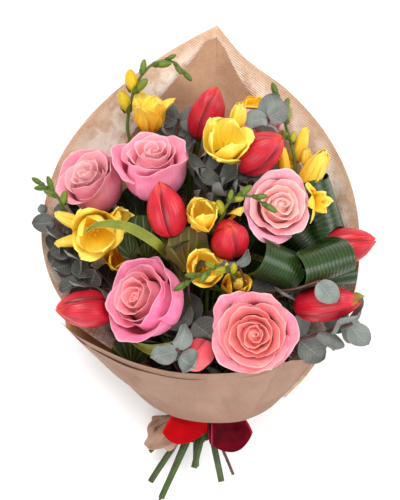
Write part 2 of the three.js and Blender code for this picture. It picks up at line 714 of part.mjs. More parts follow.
// Bends the stems clear of each other, of the heads and of the wrap. What is fixed to a head, the
// tie and the ends in view stay where they are.
function settleStems() {
  const held = (stem, i) => i < stem.fixed.length || i === stem.tied || i === stem.tied + 1;
  const shift = (stem, i, by, share) => {
    if (!held(stem, i)) stem.points[i].addScaledVector(by, share);
  };
  for (let turn = 0; turn < 120; turn += 1) {
    stems.forEach((a, i) =>
      stems.slice(i + 1).forEach((b) => {
        if (a.name !== b.name) partStems(a, b, shift);
      }),
    );
    for (const stem of stems) {
      const others = roomsOfOthers(stem.name);
      stem.points.forEach((point, i) => {
        if (held(stem, i)) return;
        pushedClear(point, others, stem.radius + GAP + 1);
        const floor = i < stem.tied ? wrapHeight(point) + 2 * PAPER + 3 * GAP + 3 : 0.2;
        point.z = Math.max(point.z, floor + stem.radius);
      });
    }
  }
}

// The point moved off the stems of other pieces.
function clearOfStems(point, owner) {
  for (const stem of stems) {
    if (stem.name === owner) continue;
    for (let i = 0; i < stem.points.length - 1; i += 1) {
      const run = new THREE.Line3(stem.points[i], stem.points[i + 1]);
      const near = run.closestPointToPoint(point, true, new Vector3());
      const room = stem.radius + BLADE / 2 + GAP + 0.8;
      if (near.distanceTo(point) < room) point.sub(near).setLength(room).add(near);
    }
  }
  return point;
}

const stemsOf = (owner) =>
  stems
    .filter(({ name }) => name === owner)
    .map(({ points, kind, radius }) => stemSolid(points, radius, STEMS[kind].sides));
const stemPoint = (owner, i) => stems.find(({ name }) => name === owner).points[i];

// ---- Paper ----

startStems();
packBundle();
const bundle = Math.max(...bundled().map(({ slot, radius }) => slot.distanceTo(TIE) + radius));
const flatness = (sides) => Math.cos(Math.PI / sides); // inner over outer radius of a polygon
const twineRadius = (bundle + GAP) / flatness(RING_SIDES);
const wrapRadius = (twineRadius + TWINE + GAP) / flatness(WRAP_COLUMNS) + PAPER / 2;
const rimLeft = new THREE.CatmullRomCurve3(RIM_LEFT.map(vec));
const rimRight = new THREE.CatmullRomCurve3(RIM_RIGHT.map(vec));
const tail = new THREE.CatmullRomCurve3(TAIL.map(vec));
const cuffTop = new THREE.CatmullRomCurve3(CUFF_TOP.map(vec));
const cuffBottom = new THREE.CatmullRomCurve3(CUFF_BOTTOM.map(vec));

// The middle of the wrap. u runs round it, from its left edge at -1 by way of its peak at 0 to its
// right edge at 1. v runs from the tie at 0 to the rim at 1. Below 0 come the collar under the
// ribbon and, below -0.1, the gathered tail.
function wrapPoint(u, v) {
  const turn = Math.PI * TURN_SHARE * u;
  const round = new Vector3(Math.sin(turn), 0, -Math.cos(turn)).multiplyScalar(wrapRadius);
  const ring = TIE.clone().add(round);
  ring.y += COLLAR * Math.max(1 + 20 * Math.min(v, 0), -1);
  if (v < -0.1) return ring.lerp(tail.getPoint((u + 1) / 2), (-v - 0.1) / 0.9);
  if (v < 0) return ring;
  const rim = (u < 0 ? rimLeft : rimRight).getPoint(Math.abs(u));
  const side = Math.abs(u);
  const flat = Math.exp(-((u / 0.42) ** 2));
  const low = ring.clone().lerp(rim, 0.32);
  low.z = lerp(lerp(ring.z, rim.z, 0.2) * side ** 1.5, -8, flat);
  const high = ring.clone().lerp(rim, 0.72);
  high.z = lerp(rim.z * lerp(0.3, 0.92, side ** 3), -10, flat);
  const point = new THREE.CubicBezierCurve3(ring, low, high, rim).getPoint(v);
  if (v > 0.1) pushedClear(point, rooms, PAPER * 1.5 + 2 * GAP);
  point.z = Math.max(point.z, PAPER / 2);
  return point;
}

// A point at a height above a surface, on the side that its normal points to.
function lifted(surface, s, v, height) {
  const step = 0.01;
  const wide = surface(Math.min(s + step, 1), v).sub(surface(Math.max(s - step, -1), v));
  const long = surface(s, Math.min(v + step, 1)).sub(surface(s, Math.min(v, 1) - step));
  return surface(s, v).addScaledVector(wide.cross(long).normalize(), height);
}

// How high the wrap lies under a point.
const wrapSamples = [];
for (let i = -14; i <= 14; i += 1) for (let j = 1; j <= 20; j += 1) wrapSamples.push(wrapPoint(i / 20, j / 20));

function wrapHeight({ x, y }) {
  const away = (sample) => Math.hypot(sample.x - x, sample.y - y);
  return wrapSamples.reduce((best, sample) => (away(sample) < away(best) ? sample : best)).z;
}

layStems();
settleStems();

const wrapRows = [-1, -0.55, -0.1, 0, 0.1, 0.22, 0.35, 0.48, 0.61, 0.74, 0.87, 1];
const backSheet = () =>
  blade((s, t) => wrapPoint(s, wrapRows[Math.round(t * (wrapRows.length - 1))]), WRAP_COLUMNS, wrapRows.length - 1, PAPER);

// The plain lining lies on the wrap, with its corner just under the wrap's peak.
function backLining() {
  const surface = (s, t) => {
    const v = lerp(0.36, 0.965, t);
    const u = s * Math.min(0.4, (0.985 - v) * 2.2);
    return lifted(wrapPoint, u, v, PAPER + GAP + 1.5 * smoothstep(Math.abs(u), 0.02, 0.16) + 1.6 * smoothstep(v, 0.6, 0.9));
  };
  return blade(surface, 6, 7, PAPER);
}

// The cuff crosses the front of the wrap. Its left end lies on the outside of the wrap and its
// right end on the inside.
function cuffPoint(s, v) {
  const place = ((s + 1) / 2) * 10;
  const front = (t) => cuffBottom.getPoint(t).lerp(cuffTop.getPoint(t), v);
  if (place < 1) return lifted(wrapPoint, -0.82, lerp(0.5, 0.86, v), -PAPER - GAP).lerp(front(0), place);
  if (place > 9) return front(1).lerp(lifted(wrapPoint, lerp(0.98, 0.84, v), 0.94, PAPER + GAP), place - 9);
  return pushedClear(front((place - 1) / 8), rooms, PAPER * 1.5 + 2 * GAP);
}

// The fold inside the cuff stands a little above its top edge.
const cuffFold = () =>
  blade((s, t) => lifted(cuffPoint, s * 0.75, [2 / 3, 1, CUFF_HEM][Math.round(2 * t)], -PAPER - GAP), 12, 2, PAPER);

// ---- Ribbon ----

// A loop of ribbon that leaves the knot, turns over at its far end and comes back under itself.
function ribbonLoop(loop) {
  const out = direction(loop.way);
  const side = new Vector3(0, 0, 1).applyAxisAngle(new Vector3(0, 1, 0), loop.lean).cross(out).normalize();
  const up = out.clone().cross(side);
  const knot = ribbonKnot().addScaledVector(out, loop.start);
  return blade(
    (s, v) => {
      const round = 2 * Math.PI * v;
      const wide = lerp(0.35, 1, Math.sin(Math.PI * v) ** 0.7) * (loop.width / 2);
      const point = knot.clone().addScaledVector(out, (loop.reach * (1 - Math.cos(round))) / 2);
      point.addScaledVector(up, loop.rise * Math.sin(round) + 1.2 * Math.cos(Math.PI * v));
      return point.addScaledVector(side, s * wide);
    },
    2,
    10,
    SATIN,
  );
}

const bandRadius = (wrapRadius + PAPER / 2 + GAP) / flatness(RING_SIDES);
const ribbonKnot = () => new Vector3(TIE.x, TIE.y - 4, TIE.z + bandRadius + SATIN + 3);

function ribbonBow() {
  const place = new Matrix4().makeRotationX(Math.PI / 2).setPosition(TIE);
  const outer = bandRadius + SATIN;
  const band = turned([[bandRadius, -6], [outer, -6], [outer, 6], [bandRadius, 6], [bandRadius, -6]], RING_SIDES, place);
  const knot = new THREE.SphereGeometry(1, 7, 5).scale(7, 5, 3.5).translate(...ribbonKnot().toArray());
  return joined([band, solidOf(knot), ribbonLoop(RIBBON.left)]);
}

function twineRing() {
  const place = new Matrix4().makeRotationX(Math.PI / 2).setPosition(TIE);
  const outer = twineRadius + TWINE;
  return turned([[twineRadius, -3], [outer, -3], [outer, 3], [twineRadius, 3], [twineRadius, -3]], RING_SIDES, place);
}

// ---- The bouquet ----

const bouquet = new THREE.Group();
bouquet.name = "bouquet";

// A node of the bouquet: its solid about its own middle, set in place.
function addPiece(group, name, solid, color, roughness) {
  const box = solid.boundingBox();
  const middle = vec(box.min).add(vec(box.max)).divideScalar(2);
  const geometry = geometryOf(solid.translate(middle.clone().negate().toArray()));
  const mesh = new THREE.Mesh(geometry, new THREE.MeshStandardMaterial({ color, roughness, metalness: 0 }));
  mesh.name = name;
  mesh.position.copy(middle);
  group.add(mesh);
}

function addGroup(name) {
  const group = new THREE.Group();
  group.name = name;
  bouquet.add(group);
  return group;
}

const flowers = addGroup("flowers");
for (const [name, rose] of Object.entries(ROSES)) {
  addPiece(flowers, name, roseBloom(name, rose), rose.color, 0.6);
  const hip = roseHip(rose, placeOf(rose.at, rose.faces));
  addPiece(flowers, `${name}_stem`, joined([...stemsOf(name), hip]), COLORS.roseStem, 0.55);
}
for (const [name, tulip] of Object.entries(TULIPS)) {
  addPiece(flowers, name, tulipBloom(name, tulip), tulip.color, 0.45);
  const leaves = (tulip.leaves ?? []).map(({ from, points, width }) => {
    const start = stemPoint(name, from).toArray();
    return strapLeaf([start, ...points], width, name);
  });
  addPiece(flowers, `${name}_stem`, joined([...stemsOf(name), ...leaves]), COLORS.tulipStem, 0.5);
}
for (const [name, spray] of Object.entries(FREESIAS)) {
  const solids = [...stemsOf(name), ...spray.flowers.map((flower) => freesiaFlower(name, flower))];
  if (spray.buds > 0) solids.push(...freesiaBuds(spray));
  addPiece(flowers, name, joined(solids), COLORS.freesia, 0.5);
}

const foliage = addGroup("foliage");
for (const [name, twig] of Object.entries(EUCALYPTUS))
  addPiece(foliage, name, joined([...stemsOf(name), ...eucalyptusLeaves(name, twig)]), COLORS.eucalyptus, 0.7);
for (const [name, roll] of Object.entries(ASPIDISTRA))
  addPiece(foliage, name, joined([...stemsOf(name), aspidistraLoop(name, roll)]), COLORS.aspidistra, 0.35);
for (const [name, leaf] of Object.entries(GALAX))
  addPiece(foliage, name, joined([...stemsOf(name), galaxBlade(name, leaf)]), COLORS.galax, 0.45);

const wrap = addGroup("wrap");
addPiece(wrap, "back_sheet", backSheet(), COLORS.kraft, 0.85);
addPiece(wrap, "back_lining", backLining(), COLORS.lining, 0.85);
addPiece(wrap, "front_cuff", blade(cuffPoint, 16, 3, PAPER), COLORS.cuff, 0.85);
addPiece(wrap, "cuff_fold", cuffFold(), COLORS.cuff, 0.85);
addPiece(wrap, "stem_twine", twineRing(), COLORS.twine, 0.9);
addPiece(wrap, "ribbon_bow", ribbonBow(), COLORS.ribbon, 0.35);
addPiece(wrap, "ribbon_back_loop", ribbonLoop(RIBBON.right), COLORS.ribbonBack, 0.35);

export default bouquet;
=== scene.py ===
# A hand-tied bouquet of roses, tulips and freesias with leaves, in a kraft-paper wrap with a red
# ribbon, lying on its back. Petals, leaves, stems, paper and satin are modelled over the packed
# solids. Places and sizes are millimetres in the part's frame, and a mesh is made in metres.

import math

import bpy
import numpy as np
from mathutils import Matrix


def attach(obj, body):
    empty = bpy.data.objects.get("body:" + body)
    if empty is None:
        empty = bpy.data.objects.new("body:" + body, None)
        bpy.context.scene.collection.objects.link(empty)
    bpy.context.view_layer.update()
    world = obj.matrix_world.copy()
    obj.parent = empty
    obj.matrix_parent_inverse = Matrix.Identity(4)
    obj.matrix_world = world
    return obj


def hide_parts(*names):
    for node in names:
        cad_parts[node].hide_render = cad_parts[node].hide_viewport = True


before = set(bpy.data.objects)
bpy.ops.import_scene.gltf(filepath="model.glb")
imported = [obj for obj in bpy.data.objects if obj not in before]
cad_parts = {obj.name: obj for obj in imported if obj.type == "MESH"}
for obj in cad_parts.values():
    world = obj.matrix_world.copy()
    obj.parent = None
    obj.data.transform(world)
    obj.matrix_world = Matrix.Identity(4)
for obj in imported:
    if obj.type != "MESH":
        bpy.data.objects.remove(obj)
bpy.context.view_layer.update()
chance = np.random.default_rng(7)

mm = 0.001
golden = math.radians(137.508)  # turn from one petal or leaf to the next


# small maths


def vec(values):
    return np.array(values, float)


def unit(vectors):
    vectors = vec(vectors)
    return vectors / np.maximum(np.linalg.norm(vectors, axis=-1, keepdims=True), 1e-9)


def mix(a, b, share):
    return a + (b - a) * share


def smooth(x, low, high):
    share = np.clip((x - low) / (high - low), 0, 1)
    return share * share * (3 - 2 * share)


def stack(x, y, z):
    return np.stack(np.broadcast_arrays(x, y, z), axis=-1).astype(float)


def spline(points):
    # a smooth line through the points, whose parameter runs from 0 to 1 and counts them evenly
    points = vec(points)
    line = np.vstack([2 * points[0] - points[1], points, 2 * points[-1] - points[-2]])

    def at(t):
        place = np.clip(np.asarray(t, float), 0, 1) * (len(points) - 1)
        run = np.minimum(place.astype(int), len(points) - 2)
        w = (place - run)[..., None]
        a, b, c, d = (line[run + k] for k in range(4))
        first, second, third = (
            np.maximum(np.sum((p - q) ** 2, axis=-1, keepdims=True) ** 0.25, 1e-4)
            for p, q in ((b, a), (c, b), (d, c))
        )
        start = ((b - a) / first - (c - a) / (first + second) + (c - b) / second) * second
        end = ((c - b) / second - (d - b) / (second + third) + (d - c) / third) * second
        bend = (3 * (c - b) - 2 * start - end) * w**2
        return b + start * w + bend + (2 * (b - c) + start + end) * w**3

    return at


def tangentOf(line, t):
    return unit(line(np.minimum(t + 1e-3, 1)) - line(np.maximum(t - 1e-3, 0)))


def cubic(a, b, c, d, v):
    w = 1 - v
    return w**3 * a + 3 * w * w * v * b + 3 * w * v * v * c + v**3 * d


def profileAt(profile, v):
    # radius and height of a cubic profile
    return tuple(cubic(*(corner[k] for corner in profile), v) for k in (0, 1))


def placeOf(at, faces):
    # a frame at a point: local z along its facing, local y as near up the picture as it goes
    z = unit(faces)
    x = unit(np.cross((0, 1, 0), z))
    return np.stack([x, np.cross(z, x), z]), vec(at)


def placed(points, place):
    axes, at = place
    return points @ axes + at


# camera, light and floor

view = {
    "height": 1500,  # camera above the table
    "reach": 220,  # half of what the picture's height shows at the table
    "floor": "#fefdfd",
    "daylight": 0.74,  # strength of the even white light all round
    "lamps": {  # place and width in metres, and power in watts
        "softboxAbove": ((-0.25, 0.9, 1.5), 0.8, 18),
        "softboxRight": ((1.3, -0.2, 1.1), 0.9, 12),
        "softboxFront": ((-0.4, -1.2, 1.1), 1.0, 10),
    },
}


def addCamera():
    data = bpy.data.cameras.new("camera")
    data.sensor_fit = "VERTICAL"
    data.angle = 2 * math.atan(view["reach"] / view["height"])
    data.clip_end = 20
    camera = bpy.data.objects.new("camera", data)
    camera.location = (0, 0, view["height"] * mm)
    bpy.context.scene.collection.objects.link(camera)
    bpy.context.scene.camera = camera


def addLamp(name, at, size, power):
    data = bpy.data.lights.new(name, "AREA")
    data.energy = power
    data.size = size
    lamp = bpy.data.objects.new(name, data)
    lamp.location = at
    lamp.rotation_euler = (-lamp.location).to_track_quat("-Z", "Y").to_euler()
    bpy.context.scene.collection.objects.link(lamp)


def addDaylight():
    world = bpy.data.worlds.new("studio")
    world.use_nodes = True
    sky = world.node_tree.nodes["Background"]
    sky.inputs["Color"].default_value = (1, 1, 1, 1)
    sky.inputs["Strength"].default_value = view["daylight"]
    bpy.context.scene.world = world
    bpy.context.scene.view_settings.view_transform = "Standard"


addCamera()
for name, lamp in view["lamps"].items():
    addLamp(name, *lamp)
addDaylight()
print("camera and light ready")


# materials. They read what the meshes carry at each point: "across" runs over a petal or leaf from
# -1 to 1, "along" from its foot to its rim, "layer" is its depth, ripeness or tone, and "outside" is
# 1 on its upper face


def linear(code):
    # an sRGB hex colour as linear red, green, blue and alpha
    parts = [int(code[i : i + 2], 16) / 255 for i in (1, 3, 5)]
    return tuple(c / 12.92 if c <= 0.04045 else ((c + 0.055) / 1.055) ** 2.4 for c in parts) + (1.0,)


def perMetre(millimetres):
    return 1 / (millimetres * mm)  # the texture scale at which one feature is that long


def addNode(tree, kind, *inputs, **settings):
    # a node with what its inputs take in their order, and with other settings and inputs by name. An
    # input takes a number, a vector, a hex colour or another node
    node = tree.nodes.new("ShaderNode" + kind)
    fed = list(zip(node.inputs, inputs))
    for key, value in settings.items():
        if key in node.inputs:
            fed.append((node.inputs[key], value))
        elif key == "stops":  # places and hex colours of a colour ramp
            elements = node.color_ramp.elements
            while len(elements) < len(value):
                elements.new(0.5)
            for element, (place, code) in zip(elements, value, strict=True):
                element.position, element.color = place, linear(code)
        else:
            setattr(node, key, value)
    for socket, value in fed:
        if hasattr(value, "outputs"):
            tree.links.new(value.outputs[0], socket)
        elif isinstance(value, bpy.types.NodeSocket):
            tree.links.new(value, socket)
        else:
            socket.default_value = linear(value) if isinstance(value, str) else value
    return node


def worked(tree, value, *steps):
    # a value after each step in turn: an operation and, where it has one, its other value
    for operation, *other in steps:
        value = addNode(tree, "Math", value, *other, operation=operation)
    return value


def coats(tree, colour, *layers):
    # coats of colour over the first one. Each follows a share, or follows a value from where the coat
    # starts to where it has its full strength
    for source, *band, over in layers:
        if band:
            start, full, strength = band
            source = addNode(tree, "MapRange", source, start, full, 0.0, strength)
        colour = addNode(tree, "MixRGB", source, colour, over)
    return colour


def newFinish(name, **settings):
    # a material with the values it starts from, and what it reads from the mesh
    material = bpy.data.materials.new(name)
    material.use_nodes = True
    tree = material.node_tree
    for key, value in settings.items():
        tree.nodes["Principled BSDF"].inputs[key.replace("_", " ")].default_value = value
    read = {
        value: addNode(tree, "Attribute", attribute_name=value).outputs["Fac"]
        for value in ("across", "along", "layer", "outside")
    }
    return material, tree, read


def dressed(material, colour, height=None, depth=0.0):
    # the material with its colour, and with a relief whose depth is in millimetres
    tree = material.node_tree
    shader = tree.nodes["Principled BSDF"]
    tree.links.new(colour.outputs[0], shader.inputs["Base Color"])
    if height:
        relief = addNode(tree, "Bump", Distance=depth * mm, Strength=1.0, Height=height)
        tree.links.new(relief.outputs["Normal"], shader.inputs["Normal"])
    return material


def grain(tree, millimetres, detail=3.0, rough=0.55):
    # noise over the object, with features of that size
    place = addNode(tree, "TexCoord").outputs["Object"]
    return addNode(
        tree, "TexNoise", Vector=place, Scale=perMetre(millimetres), Detail=detail, Roughness=rough
    )


def veinsAcross(tree, read, count, strength=6.0):
    # fine lines along a petal or leaf, evenly spaced across it, broken up a little by noise
    wander = worked(tree, grain(tree, 14, 2), ("MULTIPLY", strength))
    return worked(tree, read["across"], ("MULTIPLY", count), ("ADD", wander), ("SINE",))


def veinsPinnate(tree, read, count):
    # side veins that leave the midrib on a slant
    slant = worked(tree, read["across"], ("ABSOLUTE",), ("MULTIPLY", 0.7 * math.pi * count))
    turns = worked(tree, read["along"], ("MULTIPLY", 2 * math.pi * count))
    return worked(tree, turns, ("SUBTRACT", slant), ("SINE",))


def veinsFan(tree, read, count):
    # veins that fan out from the leaf's foot
    rise = worked(tree, read["along"], ("ADD", 0.08))
    return worked(tree, read["across"], ("ARCTAN2", rise), ("MULTIPLY", 2.0 * count), ("COSINE",))


def rosePetalFinish(name, colours):
    # rose petal: thin living tissue with a velvety skin, with painted shade at its foot and a painted
    # highlight along its rim
    material, tree, read = newFinish(
        name, Roughness=0.6, IOR=1.4, Sheen_Weight=0.15,
        Subsurface_Weight=0.12, Subsurface_Scale=0.003, Subsurface_Radius=(1.0, 0.45, 0.4),
    )
    stops = list(zip((0.0, 0.3, 0.6, 0.85, 1.0), colours["faces"], strict=True))
    outer = addNode(tree, "MapRange", read["layer"], 0.3, 0.9, 0.0, 0.9)
    veins = veinsAcross(tree, read, 60)
    colour = coats(
        tree, addNode(tree, "ValToRGB", read["layer"], stops=stops),
        (worked(tree, read["outside"], ("MULTIPLY", outer)), colours["back"]),
        # painted shade towards each petal's foot, where the petals crowd together
        (read["along"], 0.7, 0.15, 0.7, colours["deep"]),
        (veins, -1, 1, 0.10, colours["back"]),
        (grain(tree, 9, 4), 0.42, 0.62, 0.2, colours["rim"]),
        # painted highlight along each petal's rim
        (read["along"], 0.965, 0.995, 0.58, colours["rim"]),
    )
    return dressed(material, colour, worked(tree, veins, ("ADD", grain(tree, 1.2, 3))), 0.05)


def tulipPetalFinish(name, colours):
    # tulip petal: waxy, with fine lines along it, paler towards the rim and yellow-green at the foot
    material, tree, read = newFinish(
        name, Roughness=0.34, IOR=1.45,
        Subsurface_Weight=0.08, Subsurface_Scale=0.003, Subsurface_Radius=(1.0, 0.25, 0.15),
    )
    lines = veinsAcross(tree, read, 46, 5)
    # a petal that bends back shows an olive tip, and carries 2 as its layer
    bentBack = addNode(tree, "MapRange", read["layer"], 1.4, 1.6)
    nearTip = addNode(tree, "MapRange", read["along"], 0.84, 0.92)
    colour = coats(
        tree, colours["petal"],
        (lines, -0.6, 1, 0.25, colours["light"]),
        (grain(tree, 12, 3), 0.38, 0.66, 0.5, colours["dark"]),
        # painted shadow along the side of each petal that lies under the next one's edge
        (read["across"], -0.5, -0.82, 0.9, colours["seamShadow"]),
        (read["across"], 0.93, 1.0, 0.85, colours["edge"]),
        (read["along"], 0.88, 1.0, 0.7, colours["edge"]),
        (read["along"], 0.14, 0.0, 0.85, colours["foot"]),
        (worked(tree, bentBack, ("MULTIPLY", nearTip)), colours["bent"]),
    )
    return dressed(material, colour, lines, 0.05)


def freesiaPetalFinish(name, colours):
    # freesia petal: thin and satiny, lemon to golden, deeper outside and in the throat
    material, tree, read = newFinish(
        name, Roughness=0.42, IOR=1.42,
        Subsurface_Weight=0.16, Subsurface_Scale=0.004, Subsurface_Radius=(1.0, 0.7, 0.1),
    )
    colour = coats(
        tree, addNode(tree, "ValToRGB", read["along"], stops=colours["lemon"]),
        (read["layer"], addNode(tree, "ValToRGB", read["along"], stops=colours["golden"])),
        (worked(tree, read["outside"], ("MULTIPLY", 0.35)), colours["back"]),
        (veinsAcross(tree, read, 20, 3), 0, 1, 0.16, colours["vein"]),
    )
    return dressed(material, colour, veinsAcross(tree, read, 24, 3), 0.08)


def freesiaBudFinish(name, colours):
    # freesia bud: closed petals that turn from green through lime to yellow as they ripen
    material, tree, read = newFinish(name, Roughness=0.4, IOR=1.42)
    colour = coats(
        tree, addNode(tree, "ValToRGB", read["layer"], stops=colours["ripe"]),
        (read["along"], 0.45, 0.0, 0.7, colours["foot"]),
        (grain(tree, 3, 3), 0.45, 0.7, 0.3, colours["spot"]),
    )
    return dressed(material, colour, veinsAcross(tree, read, 12, 2), 0.1)


def stemFinish(name, base, dark, light, shine=0.45, cut="#cdd3a0"):
    # green stem: fibrous and faintly ribbed along its length, pale where it is cut
    material, tree, read = newFinish(name, Roughness=shine, IOR=1.42)
    ribs = veinsAcross(tree, read, 22, 2)
    colour = coats(
        tree, dark,
        (grain(tree, 8, 4, 0.6), 0.35, 0.65, 1.0, base),
        (ribs, 0, 1, 0.3, light),
        (grain(tree, 1.2, 2), 0.62, 0.72, 0.5, dark),
        (read["layer"], 0.5, 0.9, 0.9, cut),
    )
    return dressed(material, colour, worked(tree, ribs, ("ADD", grain(tree, 1.5, 3))), 0.12)


def leafFinish(name, colours, pattern, count, shine=0.5, relief=0.12, wax=0.0, show=0.4, rib=0.4):
    # leaf: a waxy face and a duller back, with a midrib, fine veins and an edge of its own tone
    material, tree, read = newFinish(
        name, Roughness=shine, IOR=1.45, Specular_IOR_Level=0.35, Coat_Weight=wax, Coat_Roughness=0.22
    )
    aside = worked(tree, read["across"], ("ABSOLUTE",))
    veins = pattern(tree, read, count)
    colour = coats(
        tree, colours["dark"],
        (grain(tree, 13, 4), 0.38, 0.62, 1.0, colours["face"]),
        # the deep colour follows the layer: on eucalyptus and rose leaves it is partly their own tone
        # and partly painted shade, darker the deeper a leaf lies in the bunch; on galax leaves it is
        # their own green
        (read["layer"], colours["deep"]),
        (worked(tree, 1.0, ("SUBTRACT", read["outside"]), ("MULTIPLY", 0.8)), colours["back"]),
        (veins, 0.72, 1, show, colours["vein"]),
        (aside, 0.05, 0.0, rib, colours["vein"]),
        (aside, 0.92, 1.0, 0.6, colours["edge"]),
    )
    return dressed(material, colour, worked(tree, veins, ("ADD", grain(tree, 4, 3))), relief)


def kraftFinish(name, colours, stripe=None):
    # kraft paper: unbleached pulp with short fibres, dull, cloudy where the pulp lies thinner, and with
    # painted shade over its deeper part
    material, tree, read = newFinish(name, Roughness=0.8, IOR=1.45)
    along = read["along"]
    fibres = grain(tree, 1.1, 5, 0.7)
    height = worked(tree, grain(tree, 9, 3), ("MULTIPLY", 2.0), ("ADD", fibres))
    colour = coats(
        tree, colours["dark"],
        (grain(tree, 24, 5, 0.62), 0.36, 0.64, 1.0, colours["face"]),
        (fibres, 0.4, 0.68, 0.4, colours["light"]),
    )
    if stripe:
        # cream lines across the sheet, parallel to its two upper edges, strongest in its pale clouds,
        # which are painted light glowing through the thinner pulp
        place = addNode(tree, "SeparateXYZ", addNode(tree, "TexCoord").outputs["Object"])
        upward = worked(tree, place.outputs["Y"], ("MULTIPLY", math.cos(stripe["slope"])))
        lines = worked(
            tree, place.outputs["X"], ("ABSOLUTE",), ("MULTIPLY", math.sin(stripe["slope"])),
            ("ADD", upward), ("MULTIPLY", 2 * math.pi * perMetre(stripe["pitch"])),
            ("ADD", worked(tree, grain(tree, 30, 2), ("MULTIPLY", 4.0))), ("SINE",),
        )
        pale = addNode(tree, "MapRange", grain(tree, 17, 5, 0.65), 0.4, 0.56)
        offRim = addNode(tree, "MapRange", along, 0.99, 0.93)
        inner = worked(tree, offRim, ("MULTIPLY", addNode(tree, "MapRange", along, 0.5, 0.75)))
        broken = addNode(tree, "MapRange", grain(tree, 3, 4, 0.7), 0.36, 0.56, 0.25, 1.0)
        showing = worked(
            tree, pale, ("MULTIPLY", 0.5), ("ADD", 0.5), ("MULTIPLY", broken),
            ("MULTIPLY", addNode(tree, "MapRange", lines, -0.3, 0.8)),
            ("MULTIPLY", addNode(tree, "MapRange", inner, 0, 1, 0.35, 1.0)),
        )
        # the pale clouds' painted glow fades out near the rim and lower down
        colour = coats(
            tree, colour,
            (worked(tree, pale, ("MULTIPLY", inner), ("MULTIPLY", 0.95)), colours["light"]),
            (showing, colours["stripe"]),
        )
        height = worked(tree, height, ("ADD", lines))  # the printed lines stand a hair proud
    # painted shade over the deeper part of the paper, warm where it stands for light glowing through;
    # then the back face's own colour
    colour = coats(
        tree, colour,
        (along, *colours["shadeFrom"], 0.8, colours["low"]),
        (worked(tree, 1.0, ("SUBTRACT", read["outside"])), colours["back"]),
    )
    return dressed(material, colour, height, 0.12)


def satinFinish(name, colours):
    # satin ribbon: fine woven threads, with a soft broad gleam along the weave. The threads are drawn
    # 0.6 mm apart, about 111 over a loop, since the real ones are too fine to show
    material, tree, read = newFinish(
        name, Roughness=0.45, IOR=1.4, Anisotropic=0.4, Specular_IOR_Level=0.06
    )
    threads = worked(tree, read["along"], ("MULTIPLY", 700.0), ("SINE",))
    colour = coats(
        tree, colours["face"],
        (grain(tree, 14, 3), 0.4, 0.62, 0.7, colours["dark"]),
        # painted highlight along both edges of the ribbon
        (worked(tree, read["across"], ("ABSOLUTE",)), 0.90, 0.97, 0.7, colours["edge"]),
        (threads, 0, 1, 0.12, colours["dark"]),
    )
    return dressed(material, colour, threads, 0.03)


def twineFinish(name, colours):
    # jute twine: dull twisted yarn, its strands drawn at their real 1.5 mm lay
    material, tree, read = newFinish(name, Roughness=0.9)
    strands = worked(tree, read["along"], ("ADD", read["across"]), ("MULTIPLY", 180.0), ("SINE",))
    colour = coats(
        tree, colours["dark"],
        (strands, -0.6, 0.8, 1.0, colours["face"]),
        (grain(tree, 0.8, 4), 0.4, 0.7, 0.5, colours["light"]),
    )
    return dressed(material, colour, strands, 0.3)


